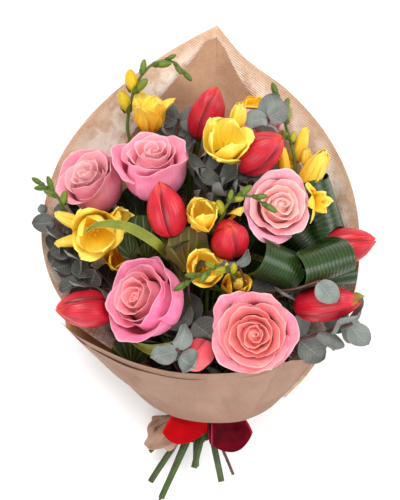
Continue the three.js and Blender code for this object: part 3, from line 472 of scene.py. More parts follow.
finishes = {
    # the faces run from the heart outwards; the coral rose's darker second face is painted shade
    # between its upright inner petals. Each rose's deep colour is painted shade at the petals' feet,
    # and its rim colour serves both a light mottle and a painted highlight along the rims
    "coral": rosePetalFinish("rosePetalCoral", {
        "faces": ("#ee7f70", "#ea6e66", "#ee817e", "#f08a9a", "#ee82a0"),  # from the heart outwards
        "back": "#ea6a94", "deep": "#cc3a46", "rim": "#fccac2",
    }),
    "pink": rosePetalFinish("rosePetalPink", {
        "faces": ("#f8b4b8", "#f8b0b8", "#f7a2b2", "#f590ac", "#f484a8"),
        "back": "#fb88b0", "deep": "#dc5a86", "rim": "#fcd4d8",
    }),
    "warm": rosePetalFinish("rosePetalWarm", {
        "faces": ("#f69a98", "#f08c92", "#ea7e90", "#ea739a", "#e96e9c"),
        "back": "#f67cae", "deep": "#d2426c", "rim": "#f9c6cb",
    }),
    "pale": rosePetalFinish("rosePetalPale", {
        "faces": ("#ffc0b8", "#ffc2ba", "#fdb9b4", "#fbaeb6", "#f6a2b8"),
        "back": "#f08eb0", "deep": "#f0747e", "rim": "#ffe4dc",
    }),
    "dusty": rosePetalFinish("rosePetalDusty", {
        "faces": ("#f4bcbe", "#f4b8bc", "#f2aab4", "#ee96a8", "#e88099"),
        "back": "#f284a2", "deep": "#bc4668", "rim": "#f2d0cc",
    }),
    "red": tulipPetalFinish("tulipPetalRed", {
        "petal": "#c4142a", "light": "#dc3442", "dark": "#960a20", "seamShadow": "#5e0410",
        "edge": "#ec5a3e", "foot": "#c98e48", "bent": "#85802a",
    }),
    "rosy": tulipPetalFinish("tulipPetalRosy", {
        "petal": "#f0606a", "light": "#f88488", "dark": "#dc4652", "seamShadow": "#b02c3c",
        "edge": "#f27a58", "foot": "#c8a868", "bent": "#85802a",
    }),
    "freesia": freesiaPetalFinish("freesiaPetal", {
        # from the throat at 0 to the rim at 1
        "lemon": [(0.0, "#f8b41a"), (0.25, "#ffd42c"), (0.5, "#ffe64e"), (1.0, "#fff27e")],
        "golden": [(0.0, "#ec960c"), (0.35, "#fab018"), (0.75, "#ffc824"), (1.0, "#ffd83c")],
        "back": "#f2aa10", "vein": "#ec9c04",
    }),
    "bud": freesiaBudFinish("freesiaBud", {
        "ripe": [(0.0, "#566c22"), (0.3, "#72801e"), (0.6, "#a89f16"), (1.0, "#f0b80c")],
        "foot": "#5c7a24", "spot": "#455c20",
    }),
    "roseStem": stemFinish("roseStem", "#46562c", "#323e20", "#667442"),
    "tulipStem": stemFinish("tulipStem", "#435620", "#2f401a", "#627638", 0.4),
    "freesiaStem": stemFinish("freesiaStem", "#566c26", "#40541e", "#7c8f3c", 0.4),
    "twig": stemFinish("eucalyptusTwig", "#74493f", "#52332c", "#8e685a", 0.6),
    "eucalyptus": leafFinish("eucalyptusLeaf", {
        "face": "#8a918b", "dark": "#707872", "deep": "#322b25",
        "back": "#8b938e", "vein": "#a9b0aa", "edge": "#8a6a66",
    }, veinsPinnate, 7, shine=0.6, relief=0.08, show=0.14),
    # the aspidistra's back is painted almost black: painted shade in the hollow of each roll
    "aspidistra": leafFinish("aspidistraLeaf", {
        "face": "#263e14", "dark": "#182c0d", "deep": "#0d1a0a",
        "back": "#030602", "vein": "#4c6c36", "edge": "#3a5a28",
    }, veinsAcross, 44, shine=0.3, relief=0.08, wax=0.25, rib=0.0),
    "galax": leafFinish("galaxLeaf", {
        "face": "#4a4f12", "dark": "#5b4315", "deep": "#1f360d",
        "back": "#4d521c", "vein": "#85793a", "edge": "#5e3020",
    }, veinsFan, 7, relief=0.25, show=0.42),
    "tulipLeaf": leafFinish("tulipLeaf", {
        "face": "#888a28", "dark": "#707822", "deep": "#54661c",
        "back": "#6d8a34", "vein": "#90ab4c", "edge": "#a2b75c",
    }, veinsAcross, 30, shine=0.42, relief=0.08, wax=0.1, show=0.25),
    "roseLeaf": leafFinish("roseLeaf", {
        "face": "#26401a", "dark": "#1a2e14", "deep": "#0d160c",
        "back": "#334f2a", "vein": "#456033", "edge": "#4d352c",
    }, veinsPinnate, 8, shine=0.42, relief=0.2, wax=0.1, show=0.3),
    # a paper's "low" colour is painted shade over its deeper part, on the striped sheet and the lining
    # also a warm painted glow of light through the paper; the pair after it says where that starts and
    # where it is full
    "striped": kraftFinish("kraftPaperStriped", {
        "face": "#d8aa82", "dark": "#bd8a60", "light": "#fff2e4", "stripe": "#fff6ec",
        "back": "#ab8873", "low": "#c07c40", "shadeFrom": (0.86, 0.52),
    }, {"slope": math.radians(37), "pitch": 1.7}),
    "lining": kraftFinish("kraftPaperPlain", {
        "face": "#bb9173", "dark": "#9e7558", "light": "#d2ac8e",
        "back": "#b9906f", "low": "#c4854a", "shadeFrom": (0.6, 0.05),
    }),
    "cuff": kraftFinish("kraftPaperCuff", {
        "face": "#9c7c69", "dark": "#8e6d5c", "light": "#aa8c79",
        "back": "#c08e62", "low": "#8e6b58", "shadeFrom": (0.35, 0.0),
    }),
    # a ribbon's edge colour is a painted highlight along its edges
    "satin": satinFinish("satinRibbonRed", {"face": "#b4000a", "dark": "#900008", "edge": "#cc0c16"}),
    "satinDark": satinFinish("satinRibbonCrimson", {
        "face": "#600012", "dark": "#2c0008", "edge": "#b03050",
    }),
    "twine": twineFinish("juteTwine", {"dark": "#7d6238", "face": "#c2a36f", "light": "#dcc79a"}),
}
print("materials ready")


# meshes


class Piece:
    # the points and faces of one piece, with what its materials read at each point
    def __init__(self):
        self.points, self.faces, self.looks, self.values = [], [], [], []
        self.count = 0

    def add(self, points, faces, look, across, along, layer, outside):
        spread = np.broadcast_arrays(across, along, layer, outside, np.zeros(len(points)))
        self.values.append(np.stack(spread[:4], axis=-1))
        self.points.append(points)
        for group in faces:
            self.faces.extend((group + self.count).tolist())
            self.looks.extend([look] * len(group))
        self.count += len(points)


def addBlade(piece, surface, across, along, thickness, look=0, layer=0.0):
    # a closed thin blade. surface(s, v) is its middle, s from -1 to 1 across, v from 0 to 1 along.
    # It thins out towards its free edges
    s, v = np.meshgrid(np.linspace(-1, 1, across + 1), np.linspace(0, 1, along + 1))
    grid = surface(s.ravel(), v.ravel()).reshape(along + 1, across + 1, 3)
    normal = unit(np.cross(np.gradient(grid, axis=1), np.gradient(grid, axis=0)))
    thin = np.clip(0.45 + np.minimum((1 - abs(s)) * across, (1 - v) * along) / 5, 0, 1)
    half = (thickness / 2 * thin)[..., None] * normal
    points = np.concatenate([(grid + half).reshape(-1, 3), (grid - half).reshape(-1, 3)])
    count = s.size
    index = np.arange(count).reshape(s.shape)
    corners = [index[:-1, :-1], index[:-1, 1:], index[1:, 1:], index[1:, :-1]]
    upper = np.stack(corners, axis=-1).reshape(-1, 4)
    ring = np.concatenate([index[0, :-1], index[:-1, -1], index[-1, :0:-1], index[:0:-1, 0]])
    after = np.roll(ring, -1)
    edge = np.stack([after, ring, ring + count, after + count], axis=-1)
    faces = [upper, upper[:, ::-1] + count, edge]
    outside = np.repeat([1.0, 0.0], count)
    piece.add(points, faces, look, np.tile(s.ravel(), 2), np.tile(v.ravel(), 2), layer, outside)


def addRings(piece, rings, foot, tip, look=0, layer=0.0, cut=0.0):
    # a closed body through rings of points, with a point at each end
    rows, sides = rings.shape[:2]
    points = np.vstack([rings.reshape(-1, 3), foot, tip])
    index = np.arange(rows * sides).reshape(rows, sides)
    after = np.roll(index, -1, axis=1)
    walls = np.stack([index[:-1], after[:-1], after[1:], index[1:]], axis=-1).reshape(-1, 4)
    first, last = np.full(sides, rows * sides), np.full(sides, rows * sides + 1)
    caps = np.vstack([
        np.stack([first, after[0], index[0]], axis=-1), np.stack([last, index[-1], after[-1]], axis=-1),
    ])
    across = np.append(np.tile(np.linspace(-1, 1, sides, endpoint=False), rows), [0, 0])
    along = np.append(np.repeat(np.linspace(0, 1, rows), sides), [0, 1])
    layers = np.append(np.full(rows * sides, layer), [layer, max(layer, cut)])
    piece.add(points, [walls, caps], look, across, along, layers, 1.0)


def addTurned(piece, profile, sides, place, look=0, layer=0.0, reshape=None):
    # a lathed body on the local z axis, through [radius, height] points from the axis to the axis
    radius, height = vec(profile).T
    turn = np.linspace(0, 2 * math.pi, sides, endpoint=False)
    wide = radius[1:-1, None]
    rings = stack(wide * np.cos(turn), wide * np.sin(turn), height[1:-1, None])
    if reshape:
        rings = reshape(rings, turn)
    ends = [placed(vec([0, 0, height[k]]), place) for k in (0, -1)]
    addRings(piece, placed(rings, place), *ends, look, layer)


def addTube(piece, line, radius, sides, steps, look=0, layer=0.0, cut=0.0):
    # a round tube along a line. radius is a number or a function of the place along it
    t = np.linspace(0, 1, steps + 1)
    middle = line(t)
    run = unit(np.gradient(middle, axis=0))
    side = unit(np.cross(run[0], (0.31, 0.17, 0.94)))
    turn = np.linspace(0, 2 * math.pi, sides, endpoint=False)
    size = radius(t) if callable(radius) else np.full(len(t), radius)
    rings = []
    for k in range(len(t)):
        side = unit(side - run[k] * (side @ run[k]))
        up = np.cross(run[k], side)
        rings.append(middle[k] + size[k] * (np.cos(turn)[:, None] * side + np.sin(turn)[:, None] * up))
    tip = middle[-1] - run[-1] * size[-1] * 0.15  # the cut end is a little hollow
    addRings(piece, np.array(rings), middle[0], tip, look, layer, cut)


def pieceName(node, part):
    return node.replace("_", "") + part


def finishPiece(name, piece, looks, nodes):
    # the piece as an object, with its finishes, and with the solids it replaces hidden
    mesh = bpy.data.meshes.new(name)
    mesh.from_pydata((np.concatenate(piece.points) * mm).tolist(), [], piece.faces)
    for look in looks:
        mesh.materials.append(finishes[look])
    mesh.polygons.foreach_set("material_index", np.array(piece.looks, np.int32))
    mesh.polygons.foreach_set("use_smooth", np.ones(len(mesh.polygons), bool))
    values = np.concatenate(piece.values).astype(np.float32)
    for k, label in enumerate(("across", "along", "layer", "outside")):
        mesh.attributes.new(label, "FLOAT", "POINT").data.foreach_set("value", values[:, k].copy())
    mesh.set_sharp_from_angle(angle=math.radians(52))
    mesh.update()
    made = bpy.data.objects.new(name, mesh)
    bpy.context.scene.collection.objects.link(made)
    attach(made, "root")
    if nodes:
        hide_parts(*nodes)
    return made


# what stands where

paperThick = 0.8
gap = 0.35  # left between neighbours
leafThick = 0.55
stalkFoot = 3  # the point of a main stem where side stalks join it
tie = vec((2, -136, 24))  # middle of the binding point
collar = 7.5  # half the length over which the wrap is drawn tight
ringSides, wrapColumns = 14, 18  # sides of the solids' rings and columns of their paper
twineThick = 1.5
turnShare = 0.94  # share of a full turn that the wrap takes round the stems
stemRadius = {
    "rose": 2.8, "tulip": 2.8, "freesia": 1.8, "eucalyptus": 1.4, "aspidistra": 1.6, "galax": 1.1,
    "branch": 1.3,
}
stemReach = 5  # sections of a stem's sweep from its head to the tie
packTurns, drawTurns, settleTurns = 1200, 900, 120  # rounds of settling the bundle, then the stems
# how far each kind of part stays off the rooms of other heads
keepOff = {"petal": 0.8, "freesia": 1.2, "leaf": 2.4, "strap": 1.8, "shoot": 3}

# "at" is the middle of a head, "faces" its direction, and "end" the cut end of a stem in view. "leans"
# and "shown" set where the drawn head or leaf differs from the room that its solid takes

roses = {
    "rose_front": {
        "at": (44, -68, 118), "faces": (-0.12, 0.02, 1), "radius": 37, "length": 46,
        "end": (19, -199, 34), "look": "coral", "slot": "rose_coral", "petals": 20, "turn": 0.6,
        "open": 1.0, "wrap": 60,
    },
    "rose_left": {
        "at": (-43, -42, 108), "faces": (-0.35, 0.12, 1), "radius": 38, "length": 48,
        "end": (-3, -187, 24), "look": "warm", "slot": "rose_pink", "petals": 16, "turn": 2.2,
        "open": 0.6, "wrap": 68, "leans": (-0.6, 0.3, 0.78), "shut": (-0.45, 1.0),
    },
    "rose_right": {
        "at": (64, 35, 92), "faces": (0.12, 0.15, 1), "radius": 30, "length": 44, "look": "pale",
        "slot": "rose_pale", "petals": 14, "turn": 4.0, "open": 0.6, "wrap": 74,
    },
    "rose_top": {
        "at": (-40, 68, 84), "faces": (-0.03, 0.72, 0.68), "radius": 34, "length": 50, "look": "pink",
        "slot": "rose_pink", "petals": 15, "turn": 3.2, "open": 0.6, "wrap": 70, "shut": (-1.3, 1.0),
    },
    "rose_far_left": {
        "at": (-90, 53, 66), "faces": (-0.4, 0.6, 0.68), "radius": 32, "length": 46, "look": "dusty",
        "slot": "rose_dusty", "petals": 12, "turn": 1.0, "open": 0.4, "wrap": 76, "shut": (-0.9, 0.9),
    },
    "rose_back": {
        "at": (44, 100, 50), "faces": (0.1, 0.75, 0.65), "radius": 24, "length": 40, "look": "dusty",
        "slot": "rose_dusty", "petals": 12, "turn": 5.0, "open": 0.5, "wrap": 72,
    },
}
tulips = {
    # a tulip is red unless its look says otherwise
    "tulip_bottom": {
        "at": (-2, -87, 108), "faces": (-0.35, -0.4, 0.85), "radius": 13, "length": 38,
        "look": "rosy", "turn": 0.5,
        "leaf": {
            "start": 2, "points": [(-6, -74, 86), (-22, -81, 96), (-40, -82, 97), (-57, -76, 88)],
            "width": 12,
        },
    },
    "tulip_heart": {
        "at": (24, 10, 114), "faces": (0.02, 0.42, 0.9), "radius": 17, "length": 44,
        "end": (-8, -186, 36), "turn": 0.2, "lobe": 0.16,
    },
    "tulip_centre": {
        "at": (-28, 34, 120), "faces": (-0.2, 0.83, 0.52), "radius": 17, "length": 50,
        "end": (-34, -213, 32), "turn": 0.12,
        "leaf": {
            "start": 2, "width": 8.5,
            "points": [
                (-27, -4, 98), (-34, 4, 110), (-45, 12, 118), (-58, 18.5, 123), (-72, 21, 125),
                (-85, 19.5, 125), (-92.5, 14.5, 121),
            ],
        },
    },
    "tulip_upper_right": {
        "at": (49, 81, 101), "faces": (0.72, 0.42, 0.55), "radius": 18, "length": 50, "turn": 1.56,
    },
    "tulip_lower_left": {
        "at": (-96, -49, 90), "faces": (-0.92, 0.02, 0.4), "radius": 17, "length": 50,
        "end": (-48, -197, 14), "turn": 0.0,
    },
    "tulip_lower_right": {
        "at": (105, -44, 94), "faces": (0.93, 0.08, 0.35), "radius": 16, "length": 58, "turn": 1.16,
        "bent": 3,
    },
    "tulip_right": {
        "at": (124, 3, 72), "faces": (0.93, 0.2, 0.3), "radius": 17, "length": 50, "turn": -0.02,
    },
    "tulip_top": {
        "at": (7, 116, 60), "faces": (0.3, 0.85, 0.43), "radius": 16, "length": 50, "turn": 0.97,
    },
}
freesias = {
    # a flower's own shape stands at "shown" where it is given. Buds are (place along the tip, side,
    # size, ripeness), and "young" flowers and the "spray" line add to what the stems carry
    "freesia_heart": {
        "flowers": [{
            "at": (1, 30, 124), "faces": (-0.1, 0.5, 0.85), "radius": 15, "open": 0.5, "gold": 0.35,
            "shown": ((2, 26, 121), (-0.05, 0.5, 0.86)),
        }],
        "tip": [(8, 34, 116), (20, 37, 124), (36, 41, 130), (56, 37, 132)],
        "spray": [
            (10, 16, 104), (17, 25, 117), (21, 35, 126), (28, 42, 130), (41, 43, 131), (51, 37, 132),
        ],
        "buds": [
            (0.28, 1, 0.8, 0.5), (0.5, 1, 0.55, 0.2), (0.56, -1, 0.5, 0.5), (0.66, 1, 0.7, 0.1),
            (0.84, 1, 0.6, 0.05), (1, 0, 0.7, 0),
        ],
        "young": [{
            "at": (28, 28, 118), "faces": (0.5, 0.45, 0.75), "radius": 8.5, "open": 0.0, "gold": 0.2,
        }],
    },
    "freesia_crown": {
        "flowers": [{
            "at": (21, 88, 116), "faces": (-0.1, 0.2, 0.97), "radius": 20, "open": 0.7, "gold": 0.0,
            "shown": ((21, 86, 112), (0.06, 0.5, 0.86)),
        }],
        "tip": [(26, 98, 98), (29, 108, 103), (30, 114, 110)],
        "young": [{
            "at": (31, 108, 102), "faces": (0.2, 0.85, 0.5), "radius": 10, "open": 0.1, "gold": 0.1,
        }],
    },
    "freesia_lower": {
        "flowers": [
            {
                "at": (3, -19, 114), "faces": (0, 0.1, 1), "radius": 16, "open": 0.7, "gold": 0.5,
                "shown": ((4, -16, 113), (0.1, 0.3, 0.95)),
            },
            {"at": (29, -30, 98), "faces": (0.2, 0.3, 0.93), "radius": 13, "open": 0.5, "gold": 0.9},
        ],
        "tip": [(16, -24, 100), (20, -17, 118), (8, -16, 128), (-16, -24, 132)],
        "spray": [
            (28, -34, 96), (29, -25, 112), (22, -15, 124), (11, -15, 129), (0, -20, 131),
            (-10, -26, 132),
        ],
        "buds": [
            (0.3, -1, 0.6, 0.6), (0.4, 1, 0.7, 0.5), (0.55, -1, 0.6, 0.35), (0.68, 1, 0.65, 0.15),
            (0.82, -1, 0.6, 0), (1, 0, 0.7, 0),
        ],
        "young": [{
            "at": (31, -28, 106), "faces": (0.1, 0.3, 0.95), "radius": 8.5, "open": 0.0, "gold": 0.1,
        }],
    },
    "freesia_left": {
        "flowers": [{
            "at": (-84, 17, 100), "faces": (0.05, 0.1, 1), "radius": 20, "open": 0.75, "gold": 0.25,
            "shown": ((-86, 15, 98), (0.05, -0.25, 0.97)),
        }],
        "tip": [(-92, 14, 84), (-104, 26, 94), (-112, 42, 96), (-122, 54, 92)],
        "spray": [(-100, 8, 70), (-111, 26, 84), (-115, 40, 95), (-122, 49, 96), (-130, 54, 92)],
        "buds": [
            (0.45, -1, 0.75, 0.2), (0.62, 1, 0.6, 0.1), (0.75, -1, 0.65, 0), (0.88, 1, 0.6, 0),
            (1, 0, 0.6, 0),
        ],
        "end": (-38, -179, 30),
        "young": [
            {
                "at": (-106, 24, 92), "faces": (-0.85, 0.4, 0.3), "radius": 10.5, "open": 0.02,
                "gold": 0.2, "tube": 13,
            },
            {
                "at": (-104, 8, 88), "faces": (-0.9, -0.15, 0.3), "radius": 11, "open": 0.0,
                "gold": 0.5, "tube": 13,
            },
            {
                "at": (-67, 23, 93), "faces": (0.7, 0.3, 0.65), "radius": 12, "open": 0.6,
                "gold": 0.3, "tube": 14,
            },
        ],
    },
    "freesia_right": {
        "flowers": [
            {
                "at": (98, 72, 76), "faces": (0.45, 0.72, 0.52), "radius": 17, "open": 0.03,
                "gold": 0.45, "shown": ((93, 62, 76), (0.42, 0.8, 0.42)),
            },
            {
                "at": (85, 94, 66), "faces": (0.25, 0.86, 0.42), "radius": 14, "open": 0.0,
                "gold": 0.7, "shown": ((83, 84, 66), (0.3, 0.88, 0.36)),
            },
        ],
        "tip": [(82, 62, 66), (80, 84, 76), (74, 106, 76), (66, 124, 72)],
        "spray": [
            (80, 58, 70), (79, 76, 76), (75, 92, 77), (71, 106, 77), (69, 117, 75), (65, 128, 72),
        ],
        "buds": [
            (0.36, -1, 0.55, 0.6), (0.42, 1, 0.5, 0.3), (0.6, -1, 0.75, 0.4), (0.76, -1, 0.7, 0.1),
            (0.84, 1, 0.5, 0), (1, 0, 0.7, 0),
        ],
        "young": [
            {"at": (70, 70, 78), "faces": (-0.1, 0.95, 0.3), "radius": 11, "open": 0.0, "gold": 1.0},
            {"at": (89, 76, 74), "faces": (0.1, 0.95, 0.35), "radius": 6.5, "open": 0.1, "gold": 0.3},
        ],
    },
    "freesia_top_left": {
        "flowers": [{
            "at": (-40, 117, 58), "faces": (0.15, 0.9, 0.4), "radius": 16, "open": 0.6, "gold": 0.45,
            "shown": ((-42, 113, 60), (0.05, 0.9, 0.42)), "form": (0.42, 1.0, 0.95),
        }],
        "tip": [(-60, 104, 52), (-58, 132, 58), (-47, 152, 62), (-28, 164, 62), (-10, 151, 60)],
        "spray": [
            (-58, 88, 46), (-61.5, 102, 52), (-60.5, 116, 56), (-57, 131, 59), (-51, 145, 61),
            (-42, 155, 62), (-31, 160, 62), (-21, 158, 61), (-14.5, 151, 60),
        ],
        "buds": [
            (0.26, 1, 1.05, 0.75), (0.4, 1, 1.0, 0.9), (0.4, -1, 0.85, 0.25), (0.54, 1, 0.65, 0.15),
            (0.66, -1, 0.8, 0.1), (0.78, 1, 0.5, 0.05), (0.88, -1, 0.55, 0), (1, 0, 0.6, 0),
        ],
    },
    "freesia_inner_left": {
        "flowers": [{
            "at": (-69, -8, 74), "faces": (0.1, 0.2, 0.95), "radius": 13, "open": 0.5, "gold": 1.0,
        }],
    },
    "freesia_inner_right": {
        "flowers": [{
            "at": (93, 46, 74), "faces": (0.5, 0.35, 0.8), "radius": 14, "open": 1.0, "gold": 0.4,
            "slim": 0.5, "shown": ((93, 40, 92), (0.4, -0.1, 0.9)), "form": (0.6, 0.92, 0.3),
        }],
    },
    "freesia_back": {
        "flowers": [{
            "at": (59, 128, 34), "faces": (0.1, 0.9, 0.4), "radius": 13, "open": 0.6, "gold": 1.0,
            "shown": ((48, 118, 44), (-0.1, 0.85, 0.5)),
        }],
    },
}
forkLength = 12  # length of a freesia's stalk above the fork of its spray
freesiaTube = 24  # length of the narrow tube under a freesia flower
# a twig's "tone" darkens its leaves towards the deep colour: partly their own tone, partly painted
# shade where they lie deep among the heads
twigs = {
    "eucalyptus_upper_right": {
        "twig": [(62, 112, 82), (61, 98, 74), (60, 80, 64)], "pairs": 2, "leaf": 14, "tone": 0.0,
        "shown": [(56, 110, 88), (57, 107, 80), (60, 92, 64)],
    },
    "eucalyptus_lower_right": {
        "twig": [(126, -61, 90), (112, -66, 84), (92, -73, 70)], "pairs": 3, "leaf": 15,
        "end": (31, -193, 28), "tone": 0.0,
    },
    "eucalyptus_bottom": {
        "twig": [(-26, -87, 122), (-14, -74, 116), (-8, -62, 98)], "pairs": 2, "leaf": 16,
        "tone": 0.1, "shown": [(-19, -80, 122), (-13, -85, 115), (-6, -74, 98)], "slim": 0.78,
    },
    "eucalyptus_left": {
        "twig": [(-122, 26, 78), (-110, 4, 74), (-90, -24, 64)], "pairs": 4, "leaf": 13,
        "end": (-35, -217, 20), "tone": 0.6,
        "shoots": [
            {
                "points": [(-92, -22, 62), (-104, -16, 70), (-110, -6, 73), (-111, 4, 72)],
                "pairs": 5, "leaf": 12, "tone": 0.75,
            },
            {
                "points": [(-82, -22, 66), (-92, -14, 74), (-100, -8, 79), (-107, 2, 80)], "pairs": 4,
                "leaf": 11, "tone": 0.7,
            },
            {
                "points": [(-78, -34, 66), (-86, -34, 78), (-94, -30, 84), (-102, -24, 84)],
                "pairs": 4, "leaf": 11, "tone": 0.8,
            },
        ],
        "fruit": (-132.5, 34.5, 66),
    },
    "eucalyptus_top": {
        "twig": [(-18, 112, 46), (-21, 92, 38), (-22, 66, 32)], "pairs": 3, "leaf": 18, "tone": 0.5,
        "shoots": [
            {
                "points": [(2, 30, 62), (7, 48, 84), (5, 65, 94)], "pairs": 4, "leaf": 15,
                "tone": 0.55, "slim": 0.42,
            },
            {
                "points": [(14, 26, 60), (20, 42, 80), (17, 56, 96)], "pairs": 4, "leaf": 19,
                "tone": 0.45, "slim": 0.45,
            },
            {
                "points": [(-8, 40, 58), (1, 64, 66), (9, 80, 72)], "pairs": 3, "leaf": 13,
                "tone": 0.55, "slim": 0.5,
            },
            {
                "points": [(24, 32, 70), (31, 44, 84), (33, 58, 90)], "pairs": 3, "leaf": 12,
                "tone": 0.65, "slim": 0.7,
            },
        ],
    },
    "eucalyptus_low_right": {
        "twig": [(88, -36, 66), (76, -43, 60), (62, -56, 50)], "pairs": 3, "leaf": 13, "tone": 0.5,
        "shoots": [
            {
                "points": [(52, -36, 92), (76, -32, 108), (97, -25, 116)], "pairs": 1, "leaf": 14,
                "tone": 0.0, "sides": 1,
            },
            {
                "points": [(44, -34, 86), (38, -26, 104), (31, -13, 117)], "pairs": 1, "leaf": 11,
                "tone": 0.3, "slim": 0.7,
            },
            {
                "points": [(60, -40, 84), (72, -36, 92), (62, -24, 92)], "pairs": 2, "leaf": 13,
                "tone": 0.6,
            },
        ],
    },
}
rolls = {
    # the leaf itself is drawn as "shown" says, over the plain roll of its solid
    "aspidistra_inner": {
        "at": (61, -6, 100), "axis": (0.92, -0.32, 0.12), "radius": 15, "width": 38,
        "shown": {"at": (61, -12, 96), "axis": (0.84, -0.36, -0.42), "width": 40, "radius": 16},
    },
    "aspidistra_outer": {
        "at": (105, -10, 95), "axis": (0.96, 0.22, -0.05), "radius": 14, "width": 42,
        "shown": {"at": (99, -12, 92), "axis": (0.88, 0.24, -0.48), "width": 50, "radius": 15},
        "more": [{"at": (115, -21, 80), "axis": (0.95, 0.15, -0.3), "width": 26, "radius": 9}],
    },
    "aspidistra_back": {
        "at": (105, 23.5, 57), "axis": (0.85, -0.35, 0.2), "radius": 12, "width": 31,
        "shown": {"at": (101, 31, 60), "axis": (-0.3, 0.92, 0.14), "width": 62, "radius": 17},
        "more": [{"at": (85, 8, 62), "axis": (-0.6, 0.78, 0.1), "width": 40, "radius": 14}],
    },
}
galaxes = {
    "galax_olive": {"at": (-9, 0, 111), "faces": (0.15, -0.2, 1), "radius": 16, "green": 0.1},
    "galax_green": {
        "at": (-46, 10, 97), "faces": (-0.2, -0.45, 1), "radius": 16, "green": 1.0,
        "more": [
            {"at": (-59, 2, 98), "faces": (-0.5, -0.2, 0.8), "radius": 11, "green": 0.9},
            {"at": (-42, -3, 102), "faces": (0.1, -0.6, 0.8), "radius": 10, "green": 0.8},
            {"at": (-20, 13, 110), "faces": (0.1, 0.5, 0.85), "radius": 12, "green": 0.95},
        ],
    },
    "galax_low": {
        "at": (-16, -15, 102), "faces": (0.1, -0.2, 1), "radius": 12, "green": 0.4,
        "more": [{"at": (-59, -85, 76), "faces": (-0.2, -0.3, 0.9), "radius": 15, "green": 1.0}],
    },
}

# each head claims an egg-shaped room, and what is laid later bends clear of it
rooms = []


def claimRoom(owner, at, faces, across, along):
    rooms.append({
        "owner": owner, "middle": vec(at), "axis": unit(faces), "across": across, "along": along,
    })


def depthIn(room, points, margin):
    # how deep points lie in a room, as 1 at its skin and 0 at its middle, and their offsets from there
    offset = points - room["middle"]
    high = offset @ room["axis"]
    wide = np.sqrt(np.maximum(np.sum(offset**2, axis=-1) - high**2, 0))
    return np.hypot(wide / (room["across"] + margin), high / (room["along"] + margin)), offset


def pushedOut(points, room, depth, offset, inside):
    # the points inside a room, moved to its skin
    points[inside] = room["middle"] + offset[inside] / np.maximum(depth[inside, None], 0.2)


def clearOfRooms(points, others, margin):
    points = points.copy()
    for room in others:
        depth, offset = depthIn(room, points, margin)
        pushedOut(points, room, depth, offset, depth < 1)
    return points


def roomsBefore(owner):
    return rooms[: next(i for i, room in enumerate(rooms) if room["owner"] == owner)]


def roomsOfOthers(owner):
    return [room for room in rooms if room["owner"] != owner]


def clearedPetal(petal, place, others, margin):
    # a petal's surface, put in its place and bent clear of the heads that were laid before
    return lambda s, v: clearOfRooms(placed(petal(s, v), place), others, margin)


for name, rose in roses.items():
    hip = vec(rose["at"]) - unit(rose["faces"]) * (rose["length"] / 2 + 5)
    claimRoom(name, rose["at"], rose["faces"], rose["radius"], rose["length"] / 2 + 1)
    claimRoom(name, hip, rose["faces"], 13, 7)
for name, tulip in tulips.items():
    claimRoom(name, tulip["at"], tulip["faces"], tulip["radius"] + 0.5, tulip["length"] / 2 + 1)
for name, spray in freesias.items():
    for flower in spray["flowers"]:
        claimRoom(name, flower["at"], flower["faces"], flower["radius"], flower["radius"] * 0.5)
for name, roll in rolls.items():
    claimRoom(name, roll["at"], roll["axis"], roll["radius"] * 1.15, roll["width"] * 0.6)


def freesiaFoot(flower):
    # where a flower's tube stands on its stalk
    below = flower["radius"] * 0.45 + flower.get("tube", freesiaTube) - 6
    return vec(flower["at"]) - unit(flower["faces"]) * below


def tipLine(spray):
    return spline([freesiaFoot(spray["flowers"][0]), *spray["tip"]])


def galaxSurface(name, leaf):
    place = placeOf(leaf["at"], leaf["faces"])

    def surface(s, v):
        reach = leaf["radius"] * np.sqrt(1 - (0.92 * (2 * v - 1)) ** 2)
        wave = 1.6 * np.sin(3 * s + 7 * v)
        points = stack(s * reach, leaf["radius"] * 0.98 * (2 * v - 1), wave * s * s - 3 * (1 - s * s))
        return clearOfRooms(placed(points, place), roomsOfOthers(name), keepOff["petal"])

    return surface


def rollSurface(roll):
    # a leaf rolled over round its axis, by 205 degrees in the solid
    axis = unit(roll["axis"])
    back = unit(np.cross((0, 0, 1), axis))
    up = np.cross(axis, back)

    def surface(s, v):
        turn = np.radians(mix(-80, roll.get("turn", 205), v))
        radius = roll["radius"] * (1 + 0.18 * (v - 0.5))
        sideways = np.multiply.outer(s * roll["width"] / 2, axis)
        outward = np.multiply.outer(-radius * np.cos(turn), back)
        risen = np.multiply.outer(radius * np.sin(turn) * 1.15, up)
        return vec(roll["at"]) + sideways + outward + risen

    return surface


# stems: laid from head to tie, then bent clear of each other

stems = []


def addStem(name, kind, fixed, faces=None, end=None):
    stems.append({
        "name": name, "kind": kind, "fixed": fixed, "faces": faces, "end": end,
        "radius": stemRadius[kind], "points": [vec(point) for point in fixed],
    })


